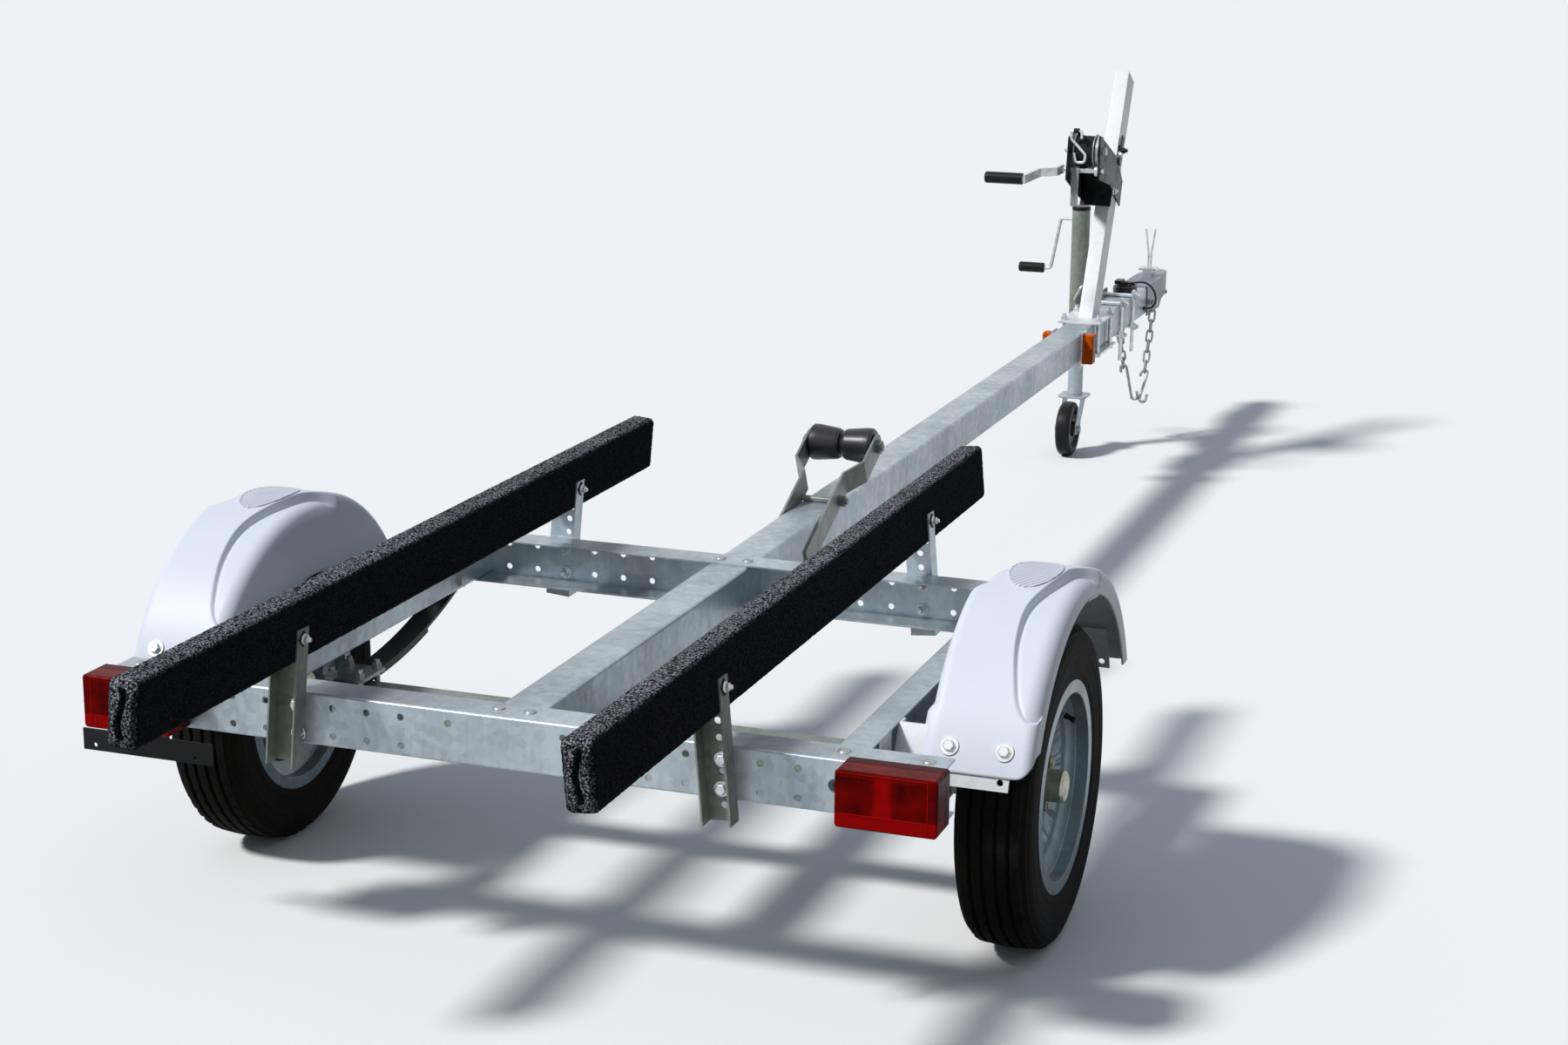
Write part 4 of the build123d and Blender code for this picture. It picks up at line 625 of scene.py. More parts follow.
def grid_shape(points: Array, round_rows: bool = False, round_cols: bool = False) -> Shape:
    """Quads over rows of points: each joins a point with its neighbours one row and one column on.

    Args:
        points: the points by row and column.
        round_rows: whether the last row joins the first.
        round_cols: whether a row's last point joins its first.
    Returns:
        The points one after another, and point numbers, four to a face.
    """
    rows, cols = points.shape[:2]
    row, col = np.meshgrid(np.arange(rows if round_rows else rows - 1),
                           np.arange(cols if round_cols else cols - 1), indexing="ij")
    next_row, next_col = (row + 1) % rows, (col + 1) % cols
    corners = [row * cols + col, row * cols + next_col, next_row * cols + next_col, next_row * cols + col]
    return points.reshape(-1, 3), np.stack(corners, -1).reshape(-1, 4)


def joined(shapes: list[Shape]) -> Shape:
    """Several shapes as one: their points in a row, each one's faces counted on from the last.

    Args:
        shapes: the shapes.
    Returns:
        Points and faces of them all.
    """
    starts = np.cumsum([0] + [len(points) for points, _ in shapes[:-1]])
    points = np.concatenate([shape[0] for shape in shapes])
    faces = np.concatenate([shape[1] + start for shape, start in zip(shapes, starts)])
    return points, faces


def axes_across(axis: Point) -> tuple[Array, Array, Array]:
    """A right-handed set of unit vectors whose first lies along an axis.

    Args:
        axis: the axis, of any length.
    Returns:
        The vector along the axis, and two square to it and to each other.
    """
    along = unit(axis)
    helper = up if abs(along[2]) < 0.9 else to_right
    first = unit(np.cross(helper, along))
    return along, first, np.cross(along, first)


def turned(profile: list[Band], centre: Point, axis: Point, steps: int = 32) -> Shape:
    """Surface of revolution: each profile point, at a distance along the axis and a radius,
    goes round the axis by cosine and sine of the turn.

    Args:
        profile: pairs of distance along the axis and radius.
        centre: where the distance along the axis is 0.
        axis: direction of the axis.
        steps: points round it.
    Returns:
        Points and faces.
    """
    outline = np.array(profile, float)
    along, first, second = axes_across(axis)
    turn = full_turn(steps)[:, None]
    spoke = np.cos(turn) * first + np.sin(turn) * second
    points = np.array(centre) + outline[None, :, :1] * along + outline[None, :, 1:] * spoke[:, None, :]
    return grid_shape(points, round_rows=True)


def tube(path: Array, radius: float, flat_normal: Point, steps: int = 10, closed: bool = False) -> Shape:
    """Round bar along a flat path: at each point a circle in the plane of the path's inward
    direction and the path's flat normal.

    Args:
        path: points along the bar's middle.
        radius: radius of the bar.
        flat_normal: normal of the plane that the path lies in.
        steps: points round the bar.
        closed: whether the path joins its own start.
    Returns:
        Points and faces; an open bar's ends are drawn in to a point.
    """
    tip_reach, tip_radius = 0.4 * radius, 0.02 * radius
    heading = unit(np.roll(path, -1, 0) - np.roll(path, 1, 0) if closed else np.gradient(path, axis=0))
    inward = unit(np.cross(unit(flat_normal), heading))
    upright = np.cross(heading, inward)
    turn = full_turn(steps)[None, :, None]
    ring = np.cos(turn) * inward[:, None] + np.sin(turn) * upright[:, None]
    size = np.full(len(path), radius)
    if not closed:
        tips = path[:1] - heading[:1] * tip_reach, path[-1:] + heading[-1:] * tip_reach
        path = np.concatenate([tips[0], path, tips[1]])
        ring = np.concatenate([ring[:1], ring, ring[-1:]])
        size = np.concatenate([[tip_radius], size, [tip_radius]])
    return grid_shape(path[:, None, :] + ring * size[:, None, None], round_rows=closed, round_cols=True)


def box_shape(low: Point, high: Point) -> Shape:
    """Box between two corners.

    Args:
        low: the corner with the smallest numbers.
        high: the corner with the largest.
    Returns:
        Eight points and six faces.
    """
    signs = np.array([(x, y, z) for x in (0, 1) for y in (0, 1) for z in (0, 1)], float)
    points = np.array(low) + signs * (np.array(high) - np.array(low))
    faces = np.array([(0, 1, 3, 2), (4, 6, 7, 5), (0, 4, 5, 1), (2, 3, 7, 6), (0, 2, 6, 4), (1, 5, 7, 3)])
    return points, faces


def rounded_path(corners: list[Point], radius: float, steps: int = 8) -> Array:
    """Straight runs whose corners are eased: near each corner a quadratic curve leaves one run and
    joins the next at the same distance from the corner.

    Args:
        corners: points where the runs meet.
        radius: distance from a corner at which its curve starts.
        steps: points in a corner.
    Returns:
        Points along the path.
    """
    points = np.array(corners, float)
    share = np.linspace(0.0, 1.0, steps)[:, None]
    pieces = [points[:1]]
    for before, at, after in zip(points, points[1:], points[2:]):
        back, on = before - at, after - at
        near = min(radius, 0.49 * np.linalg.norm(back), 0.49 * np.linalg.norm(on))
        start, end = at + unit(back) * near, at + unit(on) * near
        pieces.append((1 - share) ** 2 * start + 2 * share * (1 - share) * at + share ** 2 * end)
    return np.concatenate(pieces + [points[-1:]])


# Pieces


def shaded(name: str, mesh: bpy.types.Mesh, work: bmesh.types.BMesh, sharp: float) -> bpy.types.Object:
    """Make an object of an edited mesh, smooth but for its sharp edges.

    Args:
        name: the object's name.
        mesh: the mesh that takes the edited form.
        work: the edited form, which is freed.
        sharp: angle in degrees from which an edge stays sharp.
    Returns:
        The new object.
    """
    work.to_mesh(mesh)
    work.free()
    mesh.polygons.foreach_set("use_smooth", np.ones(len(mesh.polygons), bool))
    mesh.set_sharp_from_angle(angle=radians(sharp))
    piece = bpy.data.objects.new(name, mesh)
    bpy.context.scene.collection.objects.link(piece)
    return piece


def settle(piece: bpy.types.Object, finish: Finish, body: str,
           stands_for: tuple[str, ...] = ()) -> bpy.types.Object:
    """Give a piece its finish, its body and the nodes that it replaces.

    Args:
        piece: the piece.
        finish: its finish.
        body: the body that it rides on.
        stands_for: frame nodes that it replaces.
    Returns:
        The piece.
    """
    piece.data.materials.clear()
    piece.data.materials.append(material_of(finish))
    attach(piece, body)
    if stands_for:
        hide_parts(*stands_for)
    log.info("%s on %s", piece.name, body)
    return piece


def make_piece(name: str, shape: Shape, finish: Finish, body: str = "frame", sharp: float = 35.0,
               stands_for: tuple[str, ...] = ()) -> bpy.types.Object:
    """Make a piece from points and faces, with near points merged and its faces pointing outwards.

    Args:
        name: the piece's name.
        shape: points and faces.
        finish: its finish.
        body: the body that it rides on.
        sharp: angle in degrees from which an edge stays sharp.
        stands_for: frame nodes that it replaces.
    Returns:
        The new object.
    """
    mesh = bpy.data.meshes.new(name)
    points, faces = shape
    mesh.from_pydata(points.tolist(), [], faces.tolist())
    work = bmesh.new()
    work.from_mesh(mesh)
    bmesh.ops.remove_doubles(work, verts=work.verts, dist=weld_gap)
    bmesh.ops.dissolve_degenerate(work, edges=work.edges, dist=least_edge)
    bmesh.ops.recalc_face_normals(work, faces=work.faces)
    return settle(shaded(name, mesh, work, sharp), finish, body, stands_for)


def soften(node: str, finish: Finish, edge: float) -> bpy.types.Object:
    """Replace a frame node by a copy of its mesh with merged points and small rounds on its edges.

    Args:
        node: the frame node.
        finish: the copy's finish.
        edge: width of the rounds in millimetres.
    Returns:
        The new piece.
    """
    source = frame["nodes"][node]
    mesh = source.data.copy()
    work = bmesh.new()
    work.from_mesh(mesh)
    bmesh.ops.remove_doubles(work, verts=work.verts, dist=node_weld_gap)
    bmesh.ops.dissolve_limit(work, angle_limit=radians(0.4), verts=work.verts, edges=work.edges)
    if edge > 0:
        corners = [e for e in work.edges
                   if len(e.link_faces) == 2 and e.calc_face_angle(0.0) > radians(35)]
        bmesh.ops.bevel(work, geom=corners, offset=edge * mm, segments=2, profile=0.5, affect="EDGES",
                        clamp_overlap=True)
    piece = shaded(f"{node}_dressed", mesh, work, 38.0)
    steady = piece.modifiers.new("steady_normals", "WEIGHTED_NORMAL")
    steady.keep_sharp = True
    return settle(piece, finish, source["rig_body"], (node,))


@dataclass
class Assembly:
    """Sub-assembly whose frame nodes keep their form.

    Each row of softened has a node, its finish and the width of its edges' rounds in millimetres.
    """

    softened: Softened = ()

    def build(self) -> None:
        """Soften the nodes, then add what they lack."""
        for node, finish, edge in self.softened:
            soften(node, finish, edge)
        self.add()

    def add(self) -> None:
        """Add the pieces that no node stands for: none here."""


# Bolts, nuts and washers


class Head(Enum):
    """What shows of a fastener."""

    HEX = "hexagon head"
    NUT = "nut with the end of its thread"
    DOME = "round head of a carriage bolt"
    PAD = "square washer with nothing on it"


@dataclass(frozen=True)
class Fastener:
    """One bolt or nut on a surface, with a round washer under it where washer isn't 0.

    Size is the radius over its corners, and washer the washer's radius, both in millimetres. The
    rises, the thread's reach and its two radii are shares of the size.
    """

    at: Point
    axis: Point
    head: Head = Head.HEX
    size: float = 9.0
    washer: float = 0.0
    washer_thick: float = 1.8
    pad_thick: float = 2.0
    dome_rise: float = 0.45
    head_rise: float = 0.72
    nut_rise: float = 0.85
    thread_reach: float = 1.45
    thread_root: float = 0.52
    thread_crest: float = 0.57

    def outlines(self) -> list[tuple[list[Band], int]]:
        """Outline of each solid, along and out from the axis, with its number of sides."""
        r, wide = self.size * mm, self.washer * mm
        base = self.washer_thick * mm if self.washer else 0.0
        found = []
        if self.washer:
            found.append(([(0, 0), (0, wide), (base * 0.7, wide), (base, wide * 0.96), (base, 0)], 28))
        if self.head is Head.DOME:
            swell = np.linspace(0.0, pi / 2, 7)
            found.append(([(0, 0)] + [(self.dome_rise * r * sin(a), r * cos(a)) for a in swell], 24))
        if self.head is Head.PAD:
            found.append(([(0, 0), (0, r), (self.pad_thick * mm, r), (self.pad_thick * mm, 0)], 4))
        if self.head in (Head.HEX, Head.NUT):
            tall = (self.head_rise if self.head is Head.HEX else self.nut_rise) * r + base
            found.append(([(base, 0), (base, r), (tall - 0.12 * r, r), (tall, 0.86 * r), (tall, 0)], 6))
        if self.head is Head.NUT:
            end = self.thread_reach * r + base
            tip = end + 0.1 * r
            ridges = np.linspace(0.0, end, 2 * max(3, int(end / mm)) + 1)[1:]
            thread = [(s, r * (self.thread_root if i % 2 else self.thread_crest))
                      for i, s in enumerate(ridges)]
            found.append(([(0, 0), (0, r * self.thread_root), *thread, (tip, 0.42 * r), (tip, 0)], 14))
        return found

    def shape(self) -> Shape:
        """Its washer, head and thread, each turned about the axis."""
        return joined([turned(outline, self.at, self.axis, sides) for outline, sides in self.outlines()])


def fasten(name: str, fasteners: list[Fastener], finish: Finish) -> None:
    """Make one piece of several bolts or nuts."""
    make_piece(name, joined([fastener.shape() for fastener in fasteners]), finish)


# Frame


@dataclass
class ChannelFrame(Assembly):
    """Main beam, crossmembers, side rails and the bolts that join them; sizes in millimetres."""

    softened: Softened = tuple((node, galvanised, 1.2) for node in (
        "main_beam", "rear_crossmember", "front_crossmember", "left_rail", "right_rail"))
    top_z: float = 438.0
    rear_dome_x: tuple[float, ...] = (-640.0, -514.0, -26.0, 25.0, 514.0, 640.0)
    rear_dome_y: float = 36.0
    front_dome_x: tuple[float, ...] = (-26.0, 26.0, -514.0, 514.0)
    front_dome_y: float = 959.6
    dome_size: float = 10.0
    hole_pitch: float = 57.15
    web_holes_out: int = 6
    web_rows_z: tuple[float, float] = (417.4, 373.0)
    front_web_y: float = 992.6
    seat: float = 3.0
    washer: float = 12.0

    def add(self) -> None:
        """Domed heads on the crossmembers' tops, and hexagons on both sides of their webs, where
        heads and nuts have their seats a little way from a web's outer face."""
        rows = ((self.rear_dome_y, self.rear_dome_x), (self.front_dome_y, self.front_dome_x))
        domes = [Fastener(place(x, y, self.top_z), up, Head.DOME, self.dome_size)
                 for y, row in rows for x in row]
        fasten("crossmember_top_bolts", domes, dull_zinc)
        column = self.web_holes_out * self.hole_pitch
        ends = ((self.seat, to_front, Head.NUT), (-self.seat, to_rear, Head.HEX),
                (self.front_web_y - self.seat, to_rear, Head.NUT),
                (self.front_web_y + self.seat, to_front, Head.HEX))
        webs = [Fastener(place(x, y, z), axis, head, washer=self.washer)
                for x in (-column, column) for z in self.web_rows_z for y, axis, head in ends]
        fasten("crossmember_web_bolts", webs, bright_zinc)


# Wheels


@dataclass
class Wheel:
    """Tyre, rim and hub of one side; sizes in millimetres."""

    side: str
    outward: int
    middle_x: float = 673.8
    tyre_radius: float = 257.5
    half_width: float = 60.0
    bead_radius: float = 152.7
    flange_radius: float = 169.8
    bead_x: float = 52.2
    bead_lip: float = 3.3
    bead_thick: float = 10.0
    wall_rows: int = 30
    wall_swell: float = 0.62
    ring_rows: tuple[int, ...] = (4, 5, 16, 17, 25, 26)
    ring_rise: float = 0.8
    shoulder_drop: float = 12.0
    shoulder_tuck: float = 5.0
    lining_radius: float = 210.0
    wall_thick: float = 12.0
    crown_thick: float = 22.0
    tread_half: float = 46.0
    tread_fall: float = 3.2
    tread_cols: int = 93
    tread_depth: float = 7.0
    groove_depth: float = 6.0
    groove_half: float = 2.6
    groove_x: tuple[float, ...] = (-30.0, -10.2, 10.2, 30.0)
    sipes: int = 54
    sipe_depth: float = 2.2
    sipe_reach: float = 9.0
    tread_wiggle: float = 0.9
    margin: float = 4.0
    steps: int = 216
    valve_at: Point = (696.0, 104.0, 84.0)
    valve_axis: Point = (1.0, -0.35, -0.30)
    valve: tuple[Band, ...] = ((0, 0), (0, 5.8), (8, 5.2), (9, 4.0), (16, 3.8), (17, 4.6), (24, 4.6), (25, 0))

    @staticmethod
    def mirrored(outline: Array) -> Array:
        """The outline's other half, from its last point back to its first."""
        return outline[::-1] * np.array((-1.0, 1.0))

    def section(self) -> Array:
        """Outline from one bead over the tread to the other: pairs of X and radius.

        The sidewall swells by a sine between the rim's flange and the shoulder, carries a
        few thin rings, and the tread is a shallow arc with four grooves let into it.
        """
        rise = np.linspace(0.0, 1.0, self.wall_rows)
        shoulder = self.tyre_radius - self.shoulder_drop
        wall_r = self.flange_radius + rise * (shoulder - self.flange_radius)
        lip_x = self.bead_x + self.bead_lip
        wall_x = lip_x + (self.half_width - lip_x) * np.sin(rise * pi * self.wall_swell) ** 0.8
        wall_x -= self.shoulder_tuck * smooth_step((rise - 0.75) / 0.25)
        wall_x += self.ring_rise * np.isin(np.arange(self.wall_rows), self.ring_rows)
        x = np.linspace(-self.tread_half, self.tread_half, self.tread_cols)
        tread_r = self.tyre_radius - self.tread_fall * (x / self.tread_half) ** 2
        for groove in self.groove_x:
            inside = self.groove_half + 0.8 - np.abs(x - groove)
            tread_r -= self.groove_depth * smooth_step(inside / 1.2)
        bend = np.linspace(0.0, pi / 2, 7)[1:-1]
        edge_x = wall_x[-1] + (self.tread_half - wall_x[-1]) * np.sin(bend) ** 1.4
        edge_r = shoulder + (tread_r[0] - shoulder) * (1 - np.cos(bend)) ** 0.8
        near = np.stack([-np.concatenate([[self.bead_x, self.bead_x], wall_x, edge_x]),
                         np.concatenate([[self.bead_radius, self.flange_radius], wall_r, edge_r])], -1)
        inner_x = self.bead_x - self.bead_thick
        inner = np.array([(inner_x, self.bead_radius), (inner_x, self.flange_radius),
                          (self.half_width - self.wall_thick, self.lining_radius),
                          (self.tread_half, self.tyre_radius - self.crown_thick)])
        return np.concatenate([near, np.stack([x, tread_r], -1), self.mirrored(near), inner,
                               self.mirrored(inner)])

    def tyre(self) -> None:
        """Turn the section about the axle; the shoulder blocks are cut by short sipes, a dip that
        repeats round the wheel and fades away from the shoulder."""
        turn = full_turn(self.steps)[:, None]
        x, radius = np.tile(self.section().T[:, None, :], (1, self.steps, 1))
        outer = radius > self.tyre_radius - self.tread_depth
        on_tread = outer & (np.abs(x) < self.tread_half + self.margin)
        well_inside = on_tread & (np.abs(x) < self.tread_half - self.margin)
        x += np.where(well_inside, self.tread_wiggle * np.sin(turn * self.sipes), 0.0)
        sipe = smooth_step((np.cos(turn * self.sipes) - 0.86) / 0.1)
        near_edge = smooth_step((np.abs(x) - self.tread_half + self.sipe_reach) / 5.0)
        radius -= np.where(on_tread, self.sipe_depth * sipe * near_edge, 0.0)
        points = np.stack([self.outward * self.middle_x + x, axle_y + radius * np.cos(turn),
                           axle_z + radius * np.sin(turn)], -1)
        make_piece(f"{self.side}_tyre_tread", grid_shape(placed(points), True, True), tyre_rubber,
                   f"{self.side}_wheel", stands_for=(f"{self.side}_tyre",))

    def rim(self) -> None:
        """The wheel's disc and barrel, its hub and its valve."""
        soften(f"{self.side}_rim", rim_zinc_painted_shade_sky, 0.9)
        soften(f"{self.side}_hub", yellow_zinc, 0.6)
        x, ahead, above = self.valve_at
        outline = [(along * mm, radius * mm) for along, radius in self.valve]
        axis = (self.outward * self.valve_axis[0], *self.valve_axis[1:])
        stem = turned(outline, place(self.outward * x, axle_y + ahead, axle_z + above), axis, 14)
        make_piece(f"{self.side}_valve", stem, black_rubber, f"{self.side}_wheel")

    def build(self) -> None:
        """Tyre, rim, hub and valve."""
        self.tyre()
        self.rim()


# Fenders


@dataclass
class Fender:
    """Moulded fender over one wheel; sizes in millimetres.

    The section runs up a deep inner wall, over the crown and down a shallow outer wall. A raised
    band runs along the crown. Beyond its S-shaped crease the surface drops and rolls over to the
    wall. The rear half has its roll on one side and the front half on the other, so the moulding
    is the same when it is turned end for end, and both sides of the trailer use it. The crease's
    corners are pairs in plan: across from the fender's middle, forward of the axle.
    """

    side: str
    outward: int
    middle_x: float = 670.75
    half_width: float = 81.75
    wall: float = 3.0
    crown: float = 346.0
    outer_lip: float = 305.0
    inner_lip: float = 212.0
    bottom_z: float = 377.0
    corner_cut: float = 26.0
    band_round: float = 16.0
    roll_round: float = 26.0
    roll_drop: float = 15.0
    roll_back: float = 8.5
    crease_corners: tuple[Band, ...] = (
        (104.0, 118.0), (46.0, 54.0), (44.0, -18.0), (15.0, -128.0), (21.0, -208.0), (46.0, -284.0),
        (104.0, -296.0))
    crease_ease: float = 34.0
    step_start: float = -2.5
    step_width: float = 6.5
    groove_depth: float = 1.1
    groove_middle: float = 4.2
    groove_half: float = 1.9
    fade_start: float = 122.0
    fade_reach: float = 55.0
    tuck: float = 8.0
    tuck_from: float = 60.0
    tuck_fade: float = 18.0
    tuck_top_z: float = 462.0
    tuck_fade_z: float = 14.0
    lip_cols: tuple[int, int] = (14, 7)
    pad_half: Band = (40.0, 76.0)
    pad_low: float = 0.3
    pad_high: float = 2.0
    pad_sunk: float = -1.5
    pad_rim: float = 0.93
    bolt_across: Band = (-45.0, 38.0)
    bolt_z: float = 412.0
    bolt_size: float = 8.5
    bolt_washer: float = 14.5
    bolt_raise: float = 0.6

    @property
    def crease(self) -> Array:
        """Points along the eased crease: across and forward, from its rear end to its front."""
        corners = [(*corner, 0.0) for corner in self.crease_corners[::-1]]
        return rounded_path(corners, self.crease_ease, 12)[:, :2]

    def swing(self, facing: Array) -> Array:
        """Distance of the crease from the middle at angles from the top."""
        line = self.crease
        return np.interp(-self.crown * np.sin(facing), line[:, 1], line[:, 0])

    @staticmethod
    def rounded(near: Array, half: float, radius: float) -> Array:
        """Fall of a quarter round that ends at half the width."""
        lip = np.clip(near - half + radius, 0.0, radius)
        return radius - np.sqrt(np.clip(radius ** 2 - lip ** 2, 0.0, None))

    def crown_radius(self, across: Array, turn: Array) -> Array:
        """Radius of the crown's surface.

        Args:
            across: distance from the crown's middle, positive outwards, in millimetres.
            turn: angle from the top, positive to the rear.
        Returns:
            The band's radius with a round edge on each side. Past the crease it goes over, by a
            smooth step with a small groove at its foot, to the roll's own round, whose axis lies
            lower and further back.
        """
        across, turn = np.broadcast_arrays(across, turn)
        radius = self.crown - self.rounded(np.abs(across), self.half_width, self.band_round)
        for edge in (1.0, -1.0):
            near = edge * across
            facing = edge * turn * self.outward
            past = near - self.swing(facing)
            roll = self.crown + self.roll_back * np.sin(facing) - self.roll_drop * np.cos(facing)
            roll -= self.rounded(near, self.half_width, self.roll_round)
            share = smooth_step((past - self.step_start) / self.step_width)
            share *= smooth_step((self.fade_start + self.crown * np.sin(facing)) / self.fade_reach)
            share = np.where(near > 0, share, 0.0)
            groove = self.groove_depth * np.exp(-((past - self.groove_middle) / self.groove_half) ** 2)
            radius = (1 - share) * radius + share * np.minimum(roll, radius) - groove * (near > 0)
        return radius

    def columns(self, turn: Array, side_cols: int, middle_cols: int) -> Array:
        """Places of the crown's columns: close together at both creases, which they follow.

        Args:
            turn: each row's angle from the top.
            side_cols: columns from an edge to its crease.
            middle_cols: columns from crease to crease.
        Returns:
            Distances from the crown's middle, row by row.
        """
        limit = self.half_width - 2.5
        right = np.minimum(self.swing(turn * self.outward) + 1.0, limit)
        left = -np.minimum(self.swing(-turn * self.outward) + 1.0, limit)
        stops = [np.full_like(turn, -self.half_width), left, right, np.full_like(turn, self.half_width)]
        parts = []
        for low, high, count in zip(stops, stops[1:], (side_cols, middle_cols, side_cols)):
            ease = 0.5 - 0.5 * np.cos(np.linspace(0.0, pi, count, endpoint=False))
            parts.append(low + (high - low) * ease[None, :])
        return np.concatenate(parts + [stops[-1]], 1)

    def round_axle(self, across: Array, radius: Array, turn: Array) -> Array:
        """Points in metres at a distance across, a radius from the axle and an angle from the top."""
        x, y, z = np.broadcast_arrays(self.outward * (self.middle_x + across), axle_y - radius * np.sin(turn),
                                      axle_z + radius * np.cos(turn))
        return placed(np.stack([x, y, z], -1))

    def surface(self, rows: int = 230, side_cols: int = 24, middle_cols: int = 44) -> Shape:
        """The whole skin: rows round the wheel, columns from the inner lip to the outer lip.

        Each column's last angle is where its radius meets the level bottom edge, so the skirts
        end level, and the outer bottom corner below the bolts rises by a quarter circle.

        Args:
            rows: number of rows.
            side_cols: columns of the crown outside each crease.
            middle_cols: columns between the creases.
        Returns:
            Points and faces.
        """
        row = np.linspace(-1.0, 1.0, rows)[:, None]
        guess = row * acos((self.bottom_z - axle_z) / self.crown)
        across = self.columns(guess, side_cols, middle_cols)
        radius = self.crown_radius(across, guess)
        inner_share = np.linspace(0.0, 1.0, self.lip_cols[0], endpoint=False)[None, :]
        outer_share = np.linspace(0, 1, self.lip_cols[1])[None, 1:]
        inner_r = self.inner_lip + (radius[:, :1] - self.inner_lip) * inner_share
        outer_r = radius[:, -1:] + (self.outer_lip - radius[:, -1:]) * outer_share
        radius = np.concatenate([inner_r, radius, outer_r], 1)
        across = np.concatenate([np.full_like(inner_r, -self.half_width), across,
                                 np.full_like(outer_r, self.half_width)], 1)
        cut = np.clip(across - self.half_width + self.corner_cut, 0.0, self.corner_cut)
        rise = self.corner_cut - np.sqrt(self.corner_cut ** 2 - cut ** 2)
        end_z = self.bottom_z + np.where(row * self.outward > 0, rise, rise * 0.1)
        turn = row * np.arccos(np.clip((end_z - axle_z) / radius, -1, 1))
        height = axle_z + radius * np.cos(turn)
        skirt = smooth_step((self.tuck_top_z - height) / self.tuck_fade_z)
        skirt *= smooth_step((np.sin(turn) * self.outward - 0.3) / 0.2)
        inside = smooth_step((-across - self.tuck_from) / self.tuck_fade)
        tucked = across - self.tuck * skirt * inside
        return grid_shape(self.round_axle(tucked, radius, turn))

    def pad(self, rings: int = 90, spokes: int = 240) -> Shape:
        """Oval tread pad on the crown: a disc of points squeezed to the oval, its face broken by
        slanting ribs, a steep wave of the distance along and across it, and its edge sunk in.

        Args:
            rings: points from the middle to the edge.
            spokes: points round the edge.
        Returns:
            Points and faces.
        """
        out = np.linspace(0.0, 1.0, rings)[:, None]
        turn = full_turn(spokes)[None, :]
        across = self.pad_half[0] * out * np.cos(turn)
        angle = self.pad_half[1] * out * np.sin(turn) / self.crown
        x = self.outward * (self.middle_x + across)
        y = axle_y - self.crown * np.sin(angle) - frame_middle_y / mm
        wave = np.sin((x + fender_pad.rib_slant * y) * mm * 2 * pi / fender_pad.rib_pitch)
        ribs = self.pad_low + (self.pad_high - self.pad_low) * np.clip(0.5 + 1.1 * wave, 0.0, 1.0)
        raised = np.where(out < self.pad_rim, ribs, self.pad_high)
        raised = np.where(out > 1 - 0.75 / rings, self.pad_sunk, raised)
        radius = self.crown_radius(across, angle) + raised
        return grid_shape(self.round_axle(across, radius, angle), round_cols=True)

    def bolts(self) -> list[Fastener]:
        """Two bolts with wide washers at the foot of each skirt, square to the skin there."""
        found = []
        for end in (1.0, -1.0):
            turn = end * acos((self.bolt_z - axle_z) / self.crown)
            for across in self.bolt_across:
                reach = self.crown_radius(np.array([across]), np.array([turn])) + self.bolt_raise
                at = self.round_axle(np.array([across]), reach, np.array([turn]))[0]
                found.append(Fastener(tuple(at), (0.0, -sin(turn), cos(turn)), Head.HEX, self.bolt_size,
                                      self.bolt_washer))
        return found

    def build(self) -> None:
        """Skin with its thickness, the pad, the bolts and the strips behind them."""
        skin = make_piece(f"{self.side}_fender_skin", self.surface(), fender_plastic, sharp=60.0,
                          stands_for=(f"{self.side}_fender",))
        wall = skin.modifiers.new("wall", "SOLIDIFY")
        wall.thickness = self.wall * mm
        wall.offset = -1.0
        make_piece(f"{self.side}_fender_pad", self.pad(), fender_pad, sharp=60.0)
        fasten(f"{self.side}_fender_bolts", self.bolts(), bright_zinc)
        soften(f"{self.side}_fender_brackets", zinc_painted_sunlight, 0.6)


# Bunks


